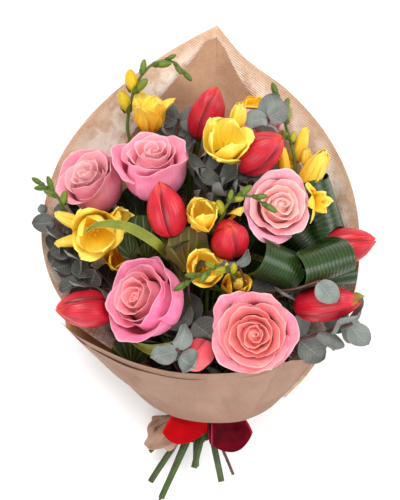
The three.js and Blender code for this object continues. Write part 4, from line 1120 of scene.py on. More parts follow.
def startStems():
    for name, rose in roses.items():
        faces = unit(rose["faces"])
        hip = vec(rose["at"]) - faces * (rose["length"] / 2 + gap + 6)
        addStem(name, "rose", [hip, hip - 4 * faces], faces, rose.get("end"))
    for name, tulip in tulips.items():
        faces = unit(tulip["faces"])
        foot = vec(tulip["at"]) - faces * (tulip["length"] / 2 + gap)
        addStem(name, "tulip", [foot, foot - 5 * faces], faces, tulip.get("end"))
    for name, spray in freesias.items():
        flower = spray["flowers"][0]
        faces = unit(flower["faces"])
        foot = freesiaFoot(flower)
        fork = foot - forkLength * faces
        throat = vec(flower["at"]) - faces * flower["radius"] * 0.5
        addStem(name, "freesia", [throat, foot, fork], faces, spray.get("end"))
        for other in spray["flowers"][1:]:
            addStem(name, "branch", [freesiaFoot(other), fork])
        if "tip" in spray:
            places = np.linspace(0, 1, len(spray["tip"]) + 4)
            addStem(name, "branch", list(tipLine(spray)(places)))
    for name, twig in twigs.items():
        points = [vec(point) for point in twig["twig"]]
        addStem(name, "eucalyptus", points, unit(points[1] - points[2]), twig.get("end"))
    for name, roll in rolls.items():
        foot, above = rollSurface(roll)(np.zeros(2), vec([0, 0.1]))
        addStem(name, "aspidistra", [foot], unit(above - foot))
    for name, leaf in galaxes.items():
        foot, above = galaxSurface(name, leaf)(np.zeros(2), vec([0, 0.2]))
        addStem(name, "galax", [above, foot], unit(above - foot))


def bundled():
    return [stem for stem in stems if stem["kind"] != "branch"]


def packBundle():
    # settles the stems' sections at the tie into one tight round bundle
    feet = [stem["fixed"][-1] for stem in bundled()]
    slots = [[foot[0] * 0.16 + tie[0], tie[2] + (foot[2] - 72) * 0.2] for foot in feet]
    radii = [stem["radius"] for stem in bundled()]
    for turn in range(packTurns):
        if turn < drawTurns:  # drawn together at first, and only pushed apart at the end
            for slot in slots:
                slot[0] = (slot[0] - tie[0]) * 0.99 + tie[0]
                slot[1] = (slot[1] - tie[2]) * 0.99 + tie[2]
        for i, a in enumerate(slots):
            for j in range(i + 1, len(slots)):
                b = slots[j]
                across, up = b[0] - a[0], b[1] - a[1]
                apart = math.hypot(across, up)
                missing = radii[i] + radii[j] + gap - apart
                if missing > 0:
                    push = (missing / 2 + 0.002) / max(apart, 1e-9)
                    a[0] -= across * push
                    a[1] -= up * push
                    b[0] += across * push
                    b[1] += up * push
    for stem, slot in zip(bundled(), slots, strict=True):
        stem["slot"] = vec((slot[0], tie[1], slot[1]))


def layStems():
    # each stem sweeps from its head to its place in the bundle, and out below it to its cut end
    for stem in bundled():
        foot = stem["fixed"][-1]
        above, below = (stem["slot"] + vec((0, rise, 0)) for rise in (collar, -collar))
        reach = np.linalg.norm(foot - above)
        headPull = foot - stem["faces"] * reach * 0.28
        outward = stem["slot"] - tie
        tiePull = above + outward * 0.9
        tiePull[1] = above[1] + reach * 0.34
        share = (np.arange(1, stemReach + 1) / stemReach)[:, None]
        sweep = cubic(foot, headPull, tiePull, above, share)
        short = below + outward * 0.3
        short[1] -= 15 + ((stem["slot"][0] * 5 + stem["slot"][2] * 3 + 90) % 8)
        stem["tied"] = len(stem["fixed"]) - 1 + stemReach
        end = vec(stem["end"]) if stem["end"] else short
        stem["points"] = [vec(point) for point in stem["fixed"]] + list(sweep) + [below, end]


def nearestOf(a0, a1, b0, b1):
    # nearest points of two straight runs, as shares of their lengths
    u, v, w = a1 - a0, b1 - b0, a0 - b0
    uu, uv, vv, uw, vw = (np.sum(p * q, axis=-1) for p, q in ((u, u), (u, v), (v, v), (u, w), (v, w)))
    first = np.clip((uv * vw - vv * uw) / np.maximum(uu * vv - uv * uv, 1e-9), 0, 1)
    t = np.clip((uv * first + vw) / vv, 0, 1)
    return np.clip((uv * t - uw) / uu, 0, 1), t


def pushApart(points, free, i, j, reach):
    # two runs, from the points i and j to the next ones, moved off each other
    s, t = nearestOf(points[i], points[i + 1], points[j], points[j + 1])
    away = mix(points[j], points[j + 1], t) - mix(points[i], points[i + 1], s)
    distance = math.sqrt(away @ away)
    missing = reach - distance
    if missing > 0 and distance >= 1e-6:
        away *= missing * 0.6 / distance
        for spot, share in ((i, s - 1), (i + 1, -s), (j, 1 - t), (j + 1, t)):
            if free[spot]:
                points[spot] += away * share


def settleStems():
    # what is fixed to a head, the tie and the ends in view stay where they are
    runs = [(k, i) for k, stem in enumerate(stems) for i in range(len(stem["points"]) - 1)]
    spans = np.cumsum([0] + [len(stem["points"]) for stem in stems])
    points = np.array([point for stem in stems for point in stem["points"]])
    owner = np.array([k for k, _ in runs])
    first = np.array([spans[k] + i for k, i in runs])
    names = np.array([stems[k]["name"] for k in owner])
    radius = np.array([stems[k]["radius"] for k in owner])
    free = np.ones(len(points), bool)
    overPaper = np.zeros(len(points), bool)
    for k, stem in enumerate(stems):
        held = list(range(len(stem["fixed"])))
        if "tied" in stem:
            held += [stem["tied"], stem["tied"] + 1]
            overPaper[spans[k] : spans[k] + stem["tied"]] = True
        free[[spans[k] + i for i in held]] = False
    a, b = np.triu_indices(len(runs), 1)
    apart = names[a] != names[b]
    a, b = a[apart], b[apart]
    reach = radius[a] + radius[b] + gap
    pointRadius = np.concatenate([np.full(len(stem["points"]), stem["radius"]) for stem in stems])
    pointOwner = np.concatenate([np.full(len(stem["points"]), stem["name"]) for stem in stems])
    i, j = first[a], first[b]
    for _ in range(settleTurns):
        s, t = nearestOf(points[i], points[i + 1], points[j], points[j + 1])
        near = mix(points[i], points[i + 1], s[:, None])
        far = mix(points[j], points[j + 1], t[:, None])
        close = np.flatnonzero(np.linalg.norm(far - near, axis=1) < reach + 0.5)
        for pair in close:
            pushApart(points, free, i[pair], j[pair], reach[pair])
        for room in rooms:
            depth, offset = depthIn(room, points, pointRadius + gap + 1)
            pushedOut(points, room, depth, offset, free & (pointOwner != room["owner"]) & (depth < 1))
        away = np.hypot(points[:, :1] - wrapSamples[:, 0], points[:, 1:2] - wrapSamples[:, 1])
        below = wrapSamples[away.argmin(axis=1), 2] + 2 * paperThick + 3 * gap + 3
        floor = np.where(overPaper, below, 0.2) + pointRadius  # the paper's or the table's
        points[:, 2] = np.where(free, np.maximum(points[:, 2], floor), points[:, 2])
    for k, stem in enumerate(stems):
        stem["points"] = list(points[spans[k] : spans[k + 1]])


def abovePaper(points, room):
    # points raised off the paper under them
    points = points.copy()
    for some in np.array_split(np.arange(len(points)), len(points) // 400 + 1):
        aside = points[some, :1] - paperSamples[:, 0]
        ahead = points[some, 1:2] - paperSamples[:, 1]
        nearest = (aside**2 + ahead**2).argmin(axis=1)
        points[some, 2] = np.maximum(points[some, 2], paperSamples[nearest, 2] + room)
    return points


def clearOfStems(points, owner):
    # points moved off the stems of other pieces
    points = points.copy()
    low, high = points.min(axis=0) - 5, points.max(axis=0) + 5
    for stem in stems:
        if stem["name"] == owner:
            continue
        room = stem["radius"] + gap + 1.25  # a leaf's half thickness and some air
        for start, end in zip(stem["points"], stem["points"][1:]):
            if np.any(np.minimum(start, end) > high) or np.any(np.maximum(start, end) < low):
                continue
            run = end - start
            t = np.clip((points - start) @ run / (run @ run), 0, 1)
            near = start + t[:, None] * run
            away = points - near
            distance = np.linalg.norm(away, axis=1, keepdims=True)
            inside = distance[:, 0] < room
            points[inside] = near[inside] + away[inside] / np.maximum(distance[inside], 1e-6) * room
    return points


# the wrap's surface

rimLeft = spline([
    (15, 196, 14), (-17, 178, 20), (-56, 151, 29), (-96, 113, 39), (-122, 72, 50), (-134, 17, 60),
    (-126, -24, 65), (-101, -66, 64),
])
rimRight = spline([
    (15, 196, 14), (39, 167, 19), (78, 136, 28), (110, 97, 38), (130, 51, 48), (135, 0, 58),
    (127, -46, 61), (92, -105, 50), (73, -126, 42),
])
tailEdge = spline([
    (-8, -152, 43), (-26, -172, 38), (-50, -168, 27), (-50, -146, 14), (-14, -151, 2), (4, -150, 1.6),
    (21, -148, 8), (27, -147, 26), (10, -148, 43),
])
cuffTop = spline([
    (-114, -66, 56), (-99, -78, 68), (-79, -88, 80), (-50, -99, 92), (-17, -106, 98), (18, -107, 98),
    (50, -103, 94), (76, -92, 82),
])
cuffBottom = spline([
    (-56, -121, 34), (-42, -132, 46), (-24, -140, 58), (-4, -144, 66), (16, -145, 69), (34, -144, 65),
    (50, -139, 57), (60, -134, 49),
])


def flatness(sides):
    return math.cos(math.pi / sides)


def wrapPoint(u, v):
    # u runs round the wrap from its left edge at -1 by its peak at 0 to its right edge at 1. v runs
    # from the tie at 0 to the rim at 1, and below 0 come the collar and the gathered tail
    u, v = np.broadcast_arrays(vec(u), vec(v))
    turn = math.pi * turnShare * u
    ring = tie + wrapRadius * stack(np.sin(turn), 0, -np.cos(turn))
    ring[..., 1] += collar * np.maximum(1 + 20 * np.minimum(v, 0), -1)
    side = np.abs(u)
    rim = np.where((u < 0)[..., None], rimLeft(side), rimRight(side))
    flat = np.exp(-((u / 0.42) ** 2))
    low = mix(ring, rim, 0.32)  # the middle of the sheet is pulled down flat on to the table
    low[..., 2] = mix(mix(ring[..., 2], rim[..., 2], 0.2) * side**1.5, -8, flat)
    high = mix(ring, rim, 0.72)
    high[..., 2] = mix(rim[..., 2] * mix(0.3, 0.92, side**3), -10, flat)
    sheet = cubic(ring, low, high, rim, np.clip(v, 0, 1)[..., None])
    clear = clearOfRooms(sheet, rooms, paperThick * 1.5 + 2 * gap)
    sheet = np.where((v > 0.1)[..., None], clear, sheet)
    sheet[..., 2] = np.maximum(sheet[..., 2], paperThick / 2)
    tail = mix(ring, tailEdge((u + 1) / 2), np.clip((-v - 0.1) / 0.9, 0, 1)[..., None])
    return np.where((v < 0)[..., None], tail, sheet)


def lifted(surface, s, v, height):
    # points at a height above a surface, on the side that its normal points to
    s, v = np.broadcast_arrays(vec(s), vec(v))
    step = 0.01
    wide = surface(np.minimum(s + step, 1), v) - surface(np.maximum(s - step, -1), v)
    long = surface(s, np.minimum(v + step, 1)) - surface(s, np.minimum(v, 1) - step)
    return surface(s, v) + unit(np.cross(wide, long)) * vec(height)[..., None]


startStems()
packBundle()
bundle = max(np.linalg.norm(stem["slot"] - tie) + stem["radius"] for stem in bundled())
twineRadius = (bundle + gap) / flatness(ringSides)
wrapRadius = (twineRadius + twineThick + gap) / flatness(wrapColumns) + paperThick / 2
bandRadius = (wrapRadius + paperThick / 2 + gap) / flatness(ringSides)
around, upward = np.meshgrid(np.arange(-14, 15) / 20, np.arange(1, 21) / 20, indexing="ij")
wrapSamples = wrapPoint(around.ravel(), upward.ravel())
around, upward = np.meshgrid(np.linspace(-0.75, 0.75, 80), np.linspace(0.02, 1, 70), indexing="ij")
paperSamples = wrapPoint(around.ravel(), upward.ravel())
layStems()
settleStems()
print("stems settled, bundle", round(bundle, 2))


# roses

roseShape = {
    "petal": (28, 24, 0.45),  # faces across and along, and thickness
    "rimWave": 0.022,  # height of the ripples along a rim, as a share of the head's length
    "roll": 2.2,  # how far round the outermost rims roll back, in radians
    "rollRadius": 0.1,  # radius of that roll, as a share of the head's
    "tuck": 0.12,  # how far a petal's two sides draw in under the next ones
    "tip": 0.12,  # how far the middle of a rim comes to a point
    "drift": 0.07,  # how far the heart lies off the middle
    # radius and height of the closed heart, as shares of the head's radius and length
    "core": [
        (0, -0.44), (0.34, -0.43), (0.44, -0.2), (0.46, -0.02), (0.38, 0.14), (0.26, 0.25),
        (0.14, 0.335), (0.05, 0.38), (0, 0.385),
    ],
}


def rosePetal(rose, i, luck):
    # petals wrap into a spiral at the heart, and flare wider, lower and rolled back outside. On a
    # rose's shut side they stay upright, so that their backs show
    out = i / (rose["petals"] - 1)  # 0 at the heart and 1 outside
    radius, length = rose["radius"], rose["length"]
    turn = rose["turn"] + i * golden
    towards, amount = rose.get("shut", (0, 0))
    shut = amount * smooth(out, 0.1, 0.6) * max(0.0, math.cos(turn - towards))
    half = math.radians(mix(120, rose["wrap"], out**0.6) * (0.90 + 0.2 * luck[0]))  # of its arc
    rim = radius * mix(0.05, 0.9, out) * (0.95 + 0.08 * luck[4]) * (1 - 0.12 * shut)
    flare = radius * min(0.03 + 0.34 * out, 0.28) * (1 - 1.1 * shut)  # how far the rim bends out
    foot = -0.40 * length
    sunk = 0.26 * rose["open"] * (1 - shut) * out**2  # outer rims lie lower on an open rose
    top = length * (0.42 + 0.06 * math.sin(math.pi * min(out * 2, 1)) - sunk) + 1.6 * (luck[5] - 0.5)
    profile = [
        (radius * mix(0.08, 0.42, out), foot),
        (rim + radius * (mix(0.10, 0.05, out) + 0.16 * shut), foot + 0.10 * length),
        (rim - flare, top - max(flare, 0) * mix(1.5, 0.7, out * rose["open"]) - 0.25 * length * shut),
        (rim, top),
    ]
    roll = roseShape["roll"] * float(smooth(out, 0.3, 1.0)) * mix(0.6, 1.0, rose["open"])
    roll *= (0.7 + 0.5 * luck[1]) * (1 - 0.6 * shut)
    bend = radius * roseShape["rollRadius"]
    ripple = roseShape["rimWave"] * mix(0.35, 1, out) * length
    drift = radius * roseShape["drift"] * (1 - out) ** 1.5

    def surface(s, v):
        wide, height = profileAt(profile, v)
        aside = np.abs(s)
        rolled = smooth(v, 0.74, 1.0) * roll * (0.66 + 0.34 * np.cos(2 * math.pi * (aside - 0.6)))
        over = radius * 0.05 * s * v * (1 - 0.5 * out)  # one side lies over the next petal
        wide = wide * (1 - roseShape["tuck"] * aside**3 * v) + bend * np.sin(rolled) + over
        height = height - bend * (1 - np.cos(rolled)) - length * v * mix(0.05, 0.15, out) * aside**2.6
        rise = np.sin(5.2 * s + 9 * luck[2]) + 0.35 * np.sin(13 * s + 5 * luck[0])
        height = height + ripple * rise * v**4
        sway = np.sin(4.2 * s + 7 * luck[3]) + 0.3 * np.sin(17 * s + 9 * luck[1])
        wide = wide + ripple * 1.2 * sway * v**3
        # straight runs of the rim meet in a soft point
        tip = np.exp(-np.abs(s - 0.3 * (luck[2] - 0.5)) / 0.3) * v**5
        wide = wide + radius * roseShape["tip"] * mix(0.3, 1, out) * tip
        height = height + length * 0.03 * tip
        angle = turn + s * half * (0.72 + 0.28 * smooth(v, 0, 0.5))
        return stack(wide * np.cos(angle) + drift * v, wide * np.sin(angle) - drift * 0.5 * v, height)

    return surface, out


def makeRose(name, rose):
    place = placeOf(rose["at"], rose.get("leans", rose["faces"]))
    others = roomsBefore(name)
    piece = Piece()
    for i in range(rose["petals"]):
        petal, out = rosePetal(rose, i, chance.random(6))
        bent = clearedPetal(petal, place, others, keepOff["petal"])
        addBlade(piece, bent, *roseShape["petal"], layer=out)
    addTurned(piece, vec(roseShape["core"]) * (rose["radius"], rose["length"]), 28, place)
    finishPiece(pieceName(name, "Bloom"), piece, [rose["look"]], [name])


for name, rose in roses.items():
    makeRose(name, rose)
print("roses made")


# tulips

tulipShape = {
    "petal": (20, 26, 0.7),  # faces across and along, and thickness
    "tip": 0.03,  # radius of the mouth that the tips close to, as a share of the head's
    "shoulder": 0.09,  # how much lower a petal's sides end than its tip, as a share of the length
    "lobe": 0.13,  # how far a petal's sides draw in to the seams
}


def tulipPetal(tulip, i, luck):
    # three inner petals form an egg, and three outer ones lie over its seams
    outer = i >= 3
    radius = tulip["radius"] * (1.0 if outer else 0.86)
    length = tulip["length"] * (1.0 if outer else 0.99)
    turn = tulip["turn"] + i * 2 * math.pi / 3 + (math.pi / 2 if outer else math.pi / 6)
    half = math.radians(68 if outer else 76)
    mouth = (tulipShape["tip"] + 0.05 * luck[1]) * (1 if outer else 0.3)
    back = 1.0 if tulip.get("bent") == i else 0.0  # the petal whose tip bends back
    profile = [
        (radius * 0.1, -length / 2),
        (radius * 1.3, -length * 0.46),
        (radius * (1.12 + 0.06 * luck[0]), length * 0.26),
        (radius * (mouth + 0.12 * back), length * (0.5 + 0.1 * back) - (0.5 if outer else 1.8)),
    ]

    def surface(s, v):
        wide, height = profileAt(profile, v)
        narrow = 1 - (0.34 if outer else 0.12) * v**4 - 0.5 * back * v**12
        angle = turn + s * half * narrow
        belly = np.sin(math.pi * v) ** 0.5
        over = radius * 0.05 * s * belly  # one side lies over the next petal
        lobe = tulip.get("lobe", tulipShape["lobe"]) * (s * s + 0.6 * np.abs(s) ** 8) * belly
        crease = radius * 0.04 * np.exp(-((s / 0.1) ** 2)) * v * (1 - v)
        wave = radius * 0.03 * np.sin(6 * s + 6 * luck[2]) * v**3
        bent = back * radius * smooth(v, 0.84, 1.0)
        wide = wide * (1 - lobe) + over - crease + wave + bent * 0.4
        drop = tulipShape["shoulder"] * length * np.abs(s) ** 1.6 * v**5
        return stack(wide * np.cos(angle), wide * np.sin(angle), height - drop)

    return surface


def makeTulip(name, tulip):
    place = placeOf(tulip["at"], tulip["faces"])
    others = roomsBefore(name)
    piece = Piece()
    for i in range(6):
        petal = tulipPetal(tulip, i, chance.random(3))
        bent = clearedPetal(petal, place, others, keepOff["petal"])
        layer = 2.0 if tulip.get("bent") == i else float(i >= 3)
        addBlade(piece, bent, *tulipShape["petal"], layer=layer)
    look = tulip.get("look", "red")
    finishPiece(pieceName(name, "Bloom"), piece, [look], [name])


for name, tulip in tulips.items():
    makeTulip(name, tulip)
print("tulips made")


# freesias

freesiaShape = {
    "petal": (14, 20, 0.5),  # faces across and along, and thickness
    "sheath": (8, 6, 0.4),
    "stamen": (0.5, 6, 3),  # radius, sides and steps
    "stalk": (1.3, 10, 24),  # from the main stem to a half-open flower
    "sprayFoot": (1.6, 12, 20),  # from the main stem to the bent tip
    "full": 1.15,  # how much larger the petals spread than the room the flower claims
    "throat": 0.72,  # how deep the petals join the tube, as a share of the radius
    "budLength": 19,
    "budRadius": 5.6,
    # radius and height of a bud, as shares of its own
    "budCurve": [
        (0, -1), (0.35, -0.8), (0.5, 0.06), (0.8, 0.2), (1, 0.42), (0.95, 0.64), (0.68, 0.85),
        (0.3, 0.97), (0, 1),
    ],
}


def freesiaPetal(flower, i, luck):
    # six broad round petals rise from a narrow tube into a cup, three of them outside the rest
    outer = i % 2 == 0
    radius, wide = flower["radius"] * freesiaShape["full"], flower["open"]
    # a flower's form is the radius of its cup, the reach of its rims and their height
    plain = (mix(0.6, 0.86, wide), mix(0.1, 1.16, wide), mix(1.3, 0.2, wide**1.4))
    belly, reach, high = flower.get("form", plain)
    if not outer:
        belly, reach, high = belly * 0.86, reach * 0.72, mix(high * 1.03, 0.72, wide)
    belly, reach, high = radius * belly, radius * reach, radius * high
    reach *= 0.93 + 0.12 * luck[0]
    high *= 1 + (0.3 * luck[2] - 0.15) * wide
    turn = i * math.pi / 3 + 0.3 * (luck[1] - 0.5)
    width = radius * mix(0.72, 0.7 if outer else 0.62, wide) * flower.get("slim", 1.0)
    deep = -radius * freesiaShape["throat"]
    profile = [
        (radius * 0.1, deep), (radius * 0.42, deep + 0.12 * radius), (belly, radius * -0.02),
        (reach, high),
    ]

    def surface(s, v):
        out, height = profileAt(profile, v)
        tip = np.clip((v - 0.5) / 0.5, 0, 1)
        half = width * mix(mix(0.6, 0.42, wide), 1, smooth(v, 0, 0.6))
        half = half * np.sqrt(np.maximum(1 - tip**2.8, 0)) + 0.3
        # closed petals wrap round, and open ones lie flat
        bow = mix(np.maximum(out, radius * 0.2), radius * 3, wide)
        sideways, inward = bow * np.sin(s * half / bow), bow * (1 - np.cos(s * half / bow))
        swell = np.sin(math.pi * np.clip(v * 0.97, 0, 1)) ** 0.7
        cup = radius * 0.24 * mix(0.1, 1, wide) * s * s * swell
        curl = radius * (0.1 + 0.08 * wide) * smooth(v, 0.75, 1.0) * (1 if outer else -0.3)
        wave = radius * (0.02 + 0.06 * wide) * np.sin(6 * s + 6 * luck[2]) * v**2
        out = out - inward - cup + wave + radius * 0.05 * s * v + curl * 0.6
        crease = radius * 0.06 * wide * np.exp(-((s / 0.2) ** 2)) * v
        height = height + cup * 0.35 - curl * 0.8 - crease
        x = out * math.cos(turn) - sideways * math.sin(turn)
        y = out * math.sin(turn) + sideways * math.cos(turn)
        return stack(x, y, height)

    return surface


def addFreesiaFlower(piece, name, flower):
    place = placeOf(*flower.get("shown", (flower["at"], flower["faces"])))
    others = roomsBefore(name)
    radius, gold = flower["radius"] * freesiaShape["full"], flower["gold"]
    throat = -radius * freesiaShape["throat"]
    for i in range(6):
        petal = freesiaPetal(flower, i, chance.random(3))
        bent = clearedPetal(petal, place, others, keepOff["freesia"])
        addBlade(piece, bent, *freesiaShape["petal"], layer=gold)
    foot = freesiaFoot(flower)
    end, near = placed(vec([(0, 0, throat + 1), (0, 0, throat - 6)]), place)
    line = spline([foot, mix(foot, near, 0.55), near, end])
    addTube(piece, line, lambda t: mix(1.8, radius * 0.15, t**2), 14, 24, layer=gold)
    for i in range(3):  # stamens in the throat
        angle = i * 2 * math.pi / 3 + 0.5
        lean = vec((math.cos(angle), math.sin(angle), 0))
        ends = vec([lean * 0.6 + (0, 0, throat), lean * radius * 0.1 + (0, 0, radius * 0.05)])
        low, high = placed(ends, place)
        addTube(piece, lambda t: mix(low, high, t[:, None]), *freesiaShape["stamen"], layer=1.0)


def addFreesiaBuds(piece, line, buds, budLook, stemLook):
    # buds sit beside the bent tip and grow smaller and greener to its end
    for t, hand, size, ripe in buds:
        tangent = tangentOf(line, t)
        side = unit(np.cross((0, 0, 1), tangent)) * hand
        place = placeOf(line(t) + side * 0.6, tangent * 1.9 + side + vec((0, 0, 0.3)))
        reach = freesiaShape["budLength"] * size
        fat = freesiaShape["budRadius"] * size * mix(0.72, 1, ripe)
        curve = freesiaShape["budCurve"]
        profile = [(wide * fat, high if high < 0 else high * reach) for wide, high in curve]
        addTurned(piece, profile, 14, place, budLook, ripe)
        for turn in (0, math.pi):  # two small green sheaths hold the foot of each bud

            def sheath(s, v):
                angle = turn + s * 1.3 * (1 - v**2)
                wide = fat * (0.5 + 0.52 * v**0.7) + 0.3
                x, y = wide * np.cos(angle), wide * np.sin(angle)
                return placed(stack(x, y, -1 + reach * 0.4 * v), place)

            addBlade(piece, sheath, *freesiaShape["sheath"], stemLook)


def stemsOf(owner):
    return [stem for stem in stems if stem["name"] == owner]


def makeFreesia(name, spray):
    piece = Piece()
    main = stemsOf(name)[0]["points"]
    for flower in spray["flowers"] + spray.get("young", []):
        addFreesiaFlower(piece, name, flower)
    for flower in spray.get("young", []):  # a half-open flower joins the main stem by its own stalk
        foot = freesiaFoot(flower)
        stalk = spline([foot, foot - unit(flower["faces"]) * 3 - (0, 0, 13), main[stalkFoot]])
        addTube(piece, stalk, *freesiaShape["stalk"], 1)
    for stem in stemsOf(name)[: len(spray["flowers"])]:
        line = stem["points"][1:] if len(stem["points"]) > 3 else stem["points"]
        addTube(piece, spline(line), stem["radius"], 12, 10 * len(line), 1, cut=1.0)
    if "spray" in spray:
        line, first = spline(spray["spray"]), vec(spray["spray"][0])
        addTube(piece, line, lambda t: mix(1.6, 0.9, t), 12, 60, 1)
        low = spline([first, mix(first, main[stalkFoot], 0.5), main[stalkFoot]])
        addTube(piece, low, *freesiaShape["sprayFoot"], 1)
        addFreesiaBuds(piece, line, spray["buds"], 2, 1)
    finishPiece(pieceName(name, "Spray"), piece, ["freesia", "freesiaStem", "bud"], [name])


for name, spray in freesias.items():
    makeFreesia(name, spray)
print("freesias made")


# stems and leaves


roseLeaf = {
    "length": 40, "width": 26, "cup": 0.10, "blunt": 0.7, "wave": 0.03, "teeth": 12,
    "fineness": (10, 24),
}
stemShape = {
    # radius and height of a rose's hip, under its petals
    "hip": [(0, -9.5), (2.6, -9.5), (3.6, -8), (5.2, -5), (5.4, -2.4), (4.8, 0), (0, 0)],
    "sepal": (4, 9, 0.6),  # faces across and along, and thickness
    "strap": (10, 40, 0.7),  # of a tulip's leaf
    "roseLeaves": 8,
}
twigShape = {
    "twig": (1.35, 10), "top": (1.2, 10, 30), "shoot": (1.0, 8, 30),  # radius, sides and steps
    "deeper": 5,  # pairs of leaves further down each twig
    "fruit": [(0, -4), (2.6, -3.6), (4.4, -0.6), (3.9, 2), (2.4, 3), (1.6, 4), (0, 3.2)],
    "fruitStalk": (0.7, 8, 16),
}
rollShape = {
    "leaf": (24, 60, 0.7),
    "stalk": (1.6, 10, 80),
    "turn": 262,  # degrees that the drawn leaf is rolled round, further than its solid
}
galaxShape = {
    "leaf": (28, 30, 0.6),
    "smaller": (20, 22, 0.6),
    "scallops": 26,  # radians of the edge's waves over the leaf's length
    "stalk": (1.1, 8, 80),
    "sideStalk": (1.0, 8, 30),
}


def addLeaf(piece, foot, way, faces, shape, owner, look=0, layer=0.0):
    # a leaf bent clear of heads, stems and paper. "cup" is its depth and "wave" its waviness as shares
    # of its length, and the smaller "blunt" is, the rounder its ends are
    length, teeth = shape["length"], shape.get("teeth", 0)
    long = unit(way)
    side = unit(np.cross(long, faces))
    normal = np.cross(side, long)
    others = roomsOfOthers(owner)

    def surface(s, v):
        half = np.maximum(shape["width"] / 2 * np.sin(math.pi * v**0.92) ** shape["blunt"], 0.35)
        half = half * (1 + 0.07 * (teeth > 0) * (teeth * v % 1))
        rise = shape["cup"] * length * (s * s * 0.5 - np.sin(math.pi * v) * 0.6)
        rise = rise - length * 0.02 * np.exp(-((s / 0.15) ** 2))  # the midrib's groove
        rise = rise + shape.get("wave", 0.02) * length * np.sin(6 * v + 3 * s)
        flat = foot + np.multiply.outer(v * length, long) + np.multiply.outer(s * half, side)
        bent = clearOfRooms(flat + np.multiply.outer(rise, normal), others, keepOff["leaf"])
        return np.where((v > 0)[:, None], abovePaper(clearOfStems(bent, owner), 3.5), flat)

    addBlade(piece, surface, *shape.get("fineness", (10, 12)), leafThick, look, layer)


def makeRoseStem(name, rose):
    piece = Piece()
    stem = stemsOf(name)[0]
    line = spline(stem["points"])

    def swollen(t):  # the stem swells a little at each node
        node = (t * 5.3 + 0.2) % 1 - 0.5
        return 2.75 + 0.45 * np.exp(-((node / 0.06) ** 2)) * (t < 0.95)

    addTube(piece, line, swollen, 14, 12 * len(stem["points"]), cut=1.0)
    place = placeOf(rose["at"], rose["faces"])
    foot = -rose["length"] / 2 - gap
    addTurned(piece, [(wide, foot + high) for wide, high in stemShape["hip"]], 16, place)
    for i in range(5):  # five pointed sepals bend back from the hip
        turn = i * 2 * math.pi / 5 + 0.3

        def sepal(s, v):
            half = 2.6 * (1 - v**1.4) + 0.25
            out = 4.6 + 10.5 * v
            high = foot - 1.2 + 2.4 * np.sin(v * 2.2) - 7.5 * v**2
            x = out * math.cos(turn) - s * half * math.sin(turn)
            y = out * math.sin(turn) + s * half * math.cos(turn)
            return placed(stack(x, y, high + 0.5 * s * s), place)

        addBlade(piece, sepal, *stemShape["sepal"])
    for i in range(stemShape["roseLeaves"]):  # dark toothed leaves fill the space under the heads
        t = (1.15 + 0.5 * i) / (len(stem["points"]) - 1)
        tangent = tangentOf(line, t)
        side = unit(np.cross(tangent, (0.3, 0.1, 1)))
        turn = i * golden + rose["turn"]
        out = side * math.cos(turn) + np.cross(tangent, side) * math.sin(turn)
        way, faces = out - tangent * 0.8, vec((0, 0, 1)) - tangent * 0.6
        # each leaf further down the stem gets a higher layer and so is painted darker, as painted shade
        # under the heads
        addLeaf(piece, line(t) + out * 1.5, way, faces, roseLeaf, name, 1, 0.15 + 0.1 * i)
    looks = ["roseStem", "roseLeaf"]
    finishPiece(pieceName(name, "Stem"), piece, looks, [f"{name}_stem"])


def makeTulipStem(name, tulip):
    piece = Piece()
    stem = stemsOf(name)[0]
    addTube(piece, spline(stem["points"]), 2.75, 14, 12 * len(stem["points"]), cut=1.0)
    if "leaf" in tulip:
        leaf = tulip["leaf"]
        line = spline([stem["points"][leaf["start"]], *leaf["points"]])

        def strap(s, v):
            side = unit(np.cross(tangentOf(line, v), (0, 0, 1)))
            half = leaf["width"] / 2 * np.maximum(np.sin(math.pi * (0.15 + 0.84 * v)) ** 0.8, 0.05)
            points = line(v) + side * (s * half)[:, None]
            points[:, 2] += 0.16 * leaf["width"] * s * s
            return clearOfStems(clearOfRooms(points, rooms, keepOff["strap"]), name)

        addBlade(piece, strap, *stemShape["strap"], 1)
    looks = ["tulipStem", "tulipLeaf"]
    finishPiece(pieceName(name, "Stem"), piece, looks, [f"{name}_stem"])


def addTwigLeaf(piece, line, t, turn, size, owner, tone, slim=0.94):
    # a slim leaf is also more pointed, more cupped and swept forward
    run = -tangentOf(line, t)
    out = unit(np.cross((0, 0, 1), run))
    out = out * math.cos(turn) + np.cross(run, out) * math.sin(turn)
    roundness = (slim - 0.6) / 0.34
    way, faces = out + run * mix(1.1, 0.45, roundness), run * 0.5 + vec((0, 0, 1))
    cup, blunt = mix(0.24, 0.12, roundness), mix(0.8, 0.55, roundness)
    shape = {"length": size, "width": size * slim, "cup": cup, "blunt": blunt}
    addLeaf(piece, line(t) + out * 0.5, way, faces, shape, owner, 0, tone)


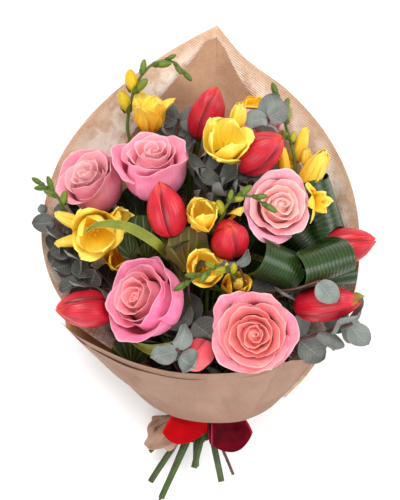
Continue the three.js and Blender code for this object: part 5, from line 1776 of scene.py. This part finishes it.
def makeTwig(name, twig):
    # round leaves sit in pairs, each pair turned, and grow larger and darker down the twig, the
    # darkening painted shade deeper in the bunch
    piece = Piece()
    points = stemsOf(name)[0]["points"]
    line, joint = spline(points), points[len(twig["twig"]) + 1]
    start = len(twig["twig"]) / (len(points) - 1) if "shown" in twig else 0
    addTube(piece, lambda t: line(mix(start, 1, t)), *twigShape["twig"], 10 * len(points), 1)
    top = spline(twig.get("shown", twig["twig"]))
    if "shown" in twig:
        addTube(piece, spline([*twig["shown"], joint]), *twigShape["top"], 1)
    for pair in range(twig["pairs"]):
        t = (pair + 0.25) / (twig["pairs"] + 0.5)
        size = twig["leaf"] * mix(0.85, 1.15, t) * 1.7
        for hand in (0, math.pi):
            tone, slim = twig["tone"] + 0.2 * t, twig.get("slim", 0.94)
            addTwigLeaf(piece, top, t, hand + pair * 1.1, size, name, tone, slim)
    for pair in range(twigShape["deeper"]):
        t = (len(twig["twig"]) - 0.5 + pair * 0.75) / (len(points) - 1)
        tone = min(twig["tone"] + 0.4 + 0.15 * pair, 1.0)
        for hand in (0.5, math.pi + 0.5):
            addTwigLeaf(piece, line, t, hand + pair * 1.3, twig["leaf"] * 1.8, name, tone)
    for shoot in twig.get("shoots", []):  # side shoots between the heads
        side = spline([joint, *clearOfRooms(vec(shoot["points"]), rooms, keepOff["shoot"])][::-1])
        addTube(piece, side, *twigShape["shoot"], 1)
        for pair in range(shoot["pairs"]):
            t = 0.02 + 0.6 * pair / shoot["pairs"]
            for hand in (math.pi, 0)[: shoot.get("sides", 2)]:
                size = shoot["leaf"] * mix(1.6, 1.9, t)
                tone, slim = shoot["tone"] + 0.3 * t - 0.2 * (pair % 2), shoot.get("slim", 0.94)
                addTwigLeaf(piece, side, t, hand + pair * 1.3, size, name, tone, slim)
    if "fruit" in twig:  # one small round fruit on a bent stalk
        at = vec(twig["fruit"])
        stalk = spline([at - (0, 3, 1), at + (6, -10, -2), line(0.05)])
        addTurned(piece, twigShape["fruit"], 16, placeOf(at, (-0.3, 0.9, 0.4)), 0, 0.15)
        addTube(piece, stalk, *twigShape["fruitStalk"], 1)
    finishPiece(pieceName(name, "Twig"), piece, ["eucalyptus", "twig"], [name])


def makeRoll(name, roll):
    # an aspidistra leaf rises from its stalk, rolls over in a loop and tucks back in
    piece = Piece()
    others = roomsOfOthers(name)
    for leaf in [roll["shown"], *roll.get("more", [])]:
        surface = rollSurface({**roll, "turn": rollShape["turn"], **leaf})

        def bent(s, v):
            points = surface(s * (1 - 0.10 * np.cos(v * math.pi) ** 6), v)  # narrower at both ends
            return clearOfStems(clearOfRooms(points, others, keepOff["petal"]), name)

        addBlade(piece, bent, *rollShape["leaf"])
        foot = surface(np.zeros(1), np.zeros(1))[0]
        stalk = spline([foot, *stemsOf(name)[0]["points"][1:]])
        addTube(piece, stalk, *rollShape["stalk"], 1)
    finishPiece(pieceName(name, "Leaf"), piece, ["aspidistra", "freesiaStem"], [name])


def makeGalax(name, leaf):
    # round galax leaves with scalloped, waved edges, the smaller ones on side stalks
    piece = Piece()
    stalk = stemsOf(name)[0]["points"]

    def addScalloped(shape, size):
        surface = galaxSurface(name, shape)

        def edged(s, v):
            edge = 1 + 0.03 * np.sin(galaxShape["scallops"] * v) * s**4
            return clearOfStems(surface(s * edge, v), name)

        addBlade(piece, edged, *galaxShape[size], layer=shape["green"])
        return surface(np.zeros(1), np.zeros(1))[0]  # its foot

    addScalloped({**leaf, "radius": leaf["radius"] * 1.2}, "leaf")
    for other in leaf.get("more", []):
        foot = addScalloped(other, "smaller")
        halfway = mix(foot, stalk[stalkFoot], 0.5) - (0, 0, 6)
        addTube(piece, spline([foot, halfway, stalk[stalkFoot]]), *galaxShape["sideStalk"], 1)
    addTube(piece, spline(stalk), *galaxShape["stalk"], 1)
    finishPiece(pieceName(name, "Leaf"), piece, ["galax", "twig"], [name])


for make, kind in (
    (makeRoseStem, roses), (makeTulipStem, tulips), (makeTwig, twigs), (makeRoll, rolls),
    (makeGalax, galaxes),
):
    for name, one in kind.items():
        make(name, one)
print("stems and leaves made")


# paper

paper = {
    "creases": 0.9,  # height of the soft folds that run up from the tie
    "crumple": 9,  # height of the crumples in the gathered tail
    "tailPull": 8,  # how far the tail's upper side is drawn in
    "cuffHem": 1.13,  # height of the cuff's inner fold, as a share of the cuff's own
    "cuffWrinkle": 0.8,  # height of the cuff's wrinkles
    "back": (220, 90, 0.5),  # faces across and along, and thickness
    "lining": (60, 60, 0.5),
    "cuff": (140, 40, 0.6),
    "fold": (100, 14, 0.6),
    "cuffCreases": [(0.28, 0.05, 0.03), (-0.35, -0.3, 0.05), (0.62, 0.25, 0.04)],  # place, slope, width
}


def paperPoint(u, v):
    # the wrap with its soft folds, which die out at the rim and where it lies on the table
    u, v = np.broadcast_arrays(vec(u), vec(v))
    points = wrapPoint(u, v)
    fold = np.sin(9 * u + 1.3) + 0.6 * np.sin(17 * u + 4 * v) + 0.4 * np.sin(31 * u - 3 * v)
    high = paper["creases"] * fold * np.sin(math.pi * np.clip(v, 0, 1)) * smooth(np.abs(u), 0.3, 0.6)
    inward = unit(vec((0, 0, 90)) - points)
    points = points + inward * high[..., None]
    tail = np.clip((-v - 0.1) / 0.9, 0, 1)
    # sharp ridges: the height of each, and how often it comes by u and by v
    ridges = ((1, 4.3, 1.1), (0.5, 8.1, -1.4), (0.7, 3, 2.1))
    facets = sum(tall * abs((a * u + b * v) % 1 - 0.5) for tall, a, b in ridges)
    rise = paper["crumple"] * (facets - 0.45) * smooth(tail, 0, 0.35) * smooth(points[..., 2], 3, 14)
    points = points + unit(tie - points) * (0.9 * rise)[..., None] + stack(0, 0, 1) * rise[..., None]
    points[..., 0] += paper["tailPull"] * tail * np.exp(-(((u + 0.32) / 0.16) ** 2))
    points[..., 2] = np.maximum(points[..., 2], paperThick / 2)
    return points


def makeBackSheet():
    # rows from the tail through the collar to the rim, as the sheet's along value runs from 0 to 1
    piece = Piece()
    rows = np.concatenate([
        np.linspace(-1, -0.1, 26), np.linspace(-0.05, 0.1, 5), np.linspace(0.12, 1, 60),
    ])

    def surface(s, t):
        return paperPoint(s, np.interp(t, np.linspace(0, 1, len(rows)), rows))

    addBlade(piece, surface, *paper["back"])
    finishPiece("backSheet", piece, ["striped"], ["back_sheet"])


def liningPoint(s, t):
    # the plain sheet inside the striped one, which narrows to the peak
    v = mix(0.36, 0.965, t)
    u = s * np.minimum(0.4, (0.985 - v) * 2.2)
    lift = paperThick + gap + 1.5 * smooth(np.abs(u), 0.02, 0.16) + 1.6 * smooth(v, 0.6, 0.9)
    return lifted(paperPoint, u, v, lift)


def cuffPoint(s, v):
    # the cuff runs from the wrap's left side across the front to its right side
    s, v = np.broadcast_arrays(vec(s), vec(v))
    place = (s + 1) / 2 * 10
    ramped = np.clip((place - 1) / 8, 0, 1)
    front = mix(cuffBottom(ramped), cuffTop(ramped), v[..., None])
    clear = clearOfRooms(front, rooms, paperThick * 1.5 + 2 * gap)
    off = np.full(s.shape, paperThick + gap)
    left = lifted(wrapPoint, np.full(s.shape, -0.82), mix(0.5, 0.86, v), -off)
    right = lifted(wrapPoint, mix(0.98, 0.84, v), np.full(s.shape, 0.94), off)
    points = np.where((place < 1)[..., None], mix(left, clear, np.clip(place, 0, 1)[..., None]), clear)
    rightEnd = mix(clear, right, np.clip(place - 9, 0, 1)[..., None])
    return np.where((place > 9)[..., None], rightEnd, points)


def wrinkledCuff(s, v):
    s, v = np.broadcast_arrays(vec(s), vec(v))
    ripple = np.sin(5 * s + 9 * v) + 0.7 * np.sin(13 * v - 4 * s) + 0.5 * np.sin(17 * s + 5 * v)
    for at, slope, sharp in paper["cuffCreases"]:
        ripple = ripple - 2.2 * np.exp(-np.abs(s - at - slope * (v - 0.5)) / sharp)
    fade = smooth(1 - np.abs(s), 0, 0.25) * smooth(v, 0, 0.2) * smooth(1.15 - v, 0, 0.25)
    return lifted(cuffPoint, s, v, paper["cuffWrinkle"] * ripple * fade)


def makeLining():
    piece = Piece()
    addBlade(piece, liningPoint, *paper["lining"])
    finishPiece("backLining", piece, ["lining"], ["back_lining"])


def makeCuff():
    piece = Piece()
    addBlade(piece, wrinkledCuff, *paper["cuff"])
    finishPiece("frontCuff", piece, ["cuff"], ["front_cuff"])
    fold = Piece()

    def hem(s, t):
        v = mix(2 / 3, paper["cuffHem"], t)
        return lifted(cuffPoint, s * 0.75, v, np.full(s.shape, -paperThick - gap))

    addBlade(fold, hem, *paper["fold"])
    finishPiece("cuffFold", fold, ["cuff"], ["cuff_fold"])


makeBackSheet()
makeLining()
makeCuff()
print("paper made")


# ribbon and twine

ribbon = {
    "left": {
        "way": (-0.32, -0.94, -0.02), "from": (-8, 6, 0), "reach": 33, "rise": 3.2, "width": 36,
        "lean": 0, "slant": -0.2, "dish": 1.0, "flat": (36, 70),
    },
    "right": {
        "way": (0.3, -0.95, -0.02), "from": (18, 1, 0), "reach": 34, "rise": 4.5, "width": 38,
        "lean": 0.25, "slant": 0.04, "dish": 4.5, "flat": (38, 72),
    },
    "thick": 0.5,
    "pleat": 0.8,
}
knotAt = tie + vec((0, -4, bandRadius + 0.8 + 3))


def ribbonLoop(loop):
    # a loop leaves the knot, turns over at its far end and comes back under itself
    out = unit(loop["way"])
    leaning = vec((math.sin(loop["lean"]), 0, math.cos(loop["lean"])))
    side = unit(np.cross(leaning, out))
    up = np.cross(out, side)
    start = knotAt + loop["from"]

    def surface(s, v):
        wide = mix(0.35, 1, np.sin(math.pi * v) ** 0.7) * loop["width"] / 2
        forward = loop["reach"] * (1 - np.cos(2 * math.pi * v)) / 2
        forward = forward * (1 - 0.34 * np.abs(s) ** 2 + loop["slant"] * s)
        rise = loop["rise"] * np.sin(2 * math.pi * v) + 1.2 * np.cos(math.pi * v)
        # the upper half sags to a cup, and pleats run out from the knot
        rise = rise - loop["dish"] * (1 - s * s) * np.maximum(np.sin(2 * math.pi * v), 0)
        rise = rise + ribbon["pleat"] * np.cos(7 * s) * (1 - np.sin(math.pi * v)) * 0.8
        along, upward = np.multiply.outer(forward, out), np.multiply.outer(rise, up)
        return start + along + upward + np.multiply.outer(s * wide, side)

    return surface


def makeRibbon():
    # the band goes once round, with the four corners of its section at each turn
    band = Piece()
    turns = 60
    turn = np.linspace(0, 2 * math.pi, turns, endpoint=False)
    rings = []
    for off, y in ((0.7, -6), (0.7, 6), (0.1, 6), (0.1, -6)):
        radius = bandRadius + off
        rings.append(tie + stack(radius * np.sin(turn), y, radius * np.cos(turn)))
    index = np.arange(4 * turns).reshape(4, turns)
    below, after = np.roll(index, -1, axis=0), np.roll(index, -1, axis=1)
    faces = np.stack([index, after, np.roll(below, -1, axis=1), below], axis=-1).reshape(-1, 4)
    along = np.tile(np.linspace(0, 1, turns), 4)
    band.add(np.concatenate(rings), [faces], 0, 0.0, along, 0.0, 1.0)
    knotPlace = (np.eye(3), knotAt)
    outline = [(0, -3.4), (5.4, -2.6), (6.8, 0), (5.4, 2.6), (2.5, 3.5), (0, 3.3)]  # of the knot

    def pleated(rings, turn):
        return rings * (1, 0.72, 1) * (1 + 0.06 * np.sin(5 * turn))[None, :, None]

    addTurned(band, outline, 30, knotPlace, reshape=pleated)
    finishPiece("ribbonBand", band, ["satin"], ["ribbon_bow"])
    for side, look, nodes, slotName in (
        ("left", "satin", ["ribbon_bow"], "ribbon_red"),
        ("right", "satinDark", ["ribbon_back_loop"], "ribbon_crimson"),
    ):
        loop = Piece()
        addBlade(loop, ribbonLoop(ribbon[side]), 20, 60, ribbon["thick"])
        made = finishPiece(f"ribbonLoop{side.title()}", loop, [look], nodes)


def makeTwine():
    piece = Piece()
    radius = twineRadius + 0.8
    for row in (-1.5, 0, 1.5):

        def turned(t):
            turn = 2 * math.pi * t
            return tie + stack(radius * np.sin(turn), row, radius * np.cos(turn))

        addTube(piece, turned, 0.72, 8, 90)
    finishPiece("stemTwine", piece, ["twine"], ["stem_twine"])


makeRibbon()
makeTwine()
print("ribbon made")


# floor


def makeFloor():
    mesh = bpy.data.meshes.new("floor")
    corners = [(-3, -3, 0), (3, -3, 0), (3, 3, 0), (-3, 3, 0)]
    mesh.from_pydata(corners, [], [(0, 1, 2, 3)])
    material, tree, _ = newFinish("paintedBoard", Roughness=0.9)
    tone = coats(tree, view["floor"], (grain(tree, 40, 3), 0.3, 0.7, 1.0, "#ffffff"))
    mesh.materials.append(dressed(material, tone))
    floor = bpy.data.objects.new("floor", mesh)
    bpy.context.scene.collection.objects.link(floor)


makeFloor()
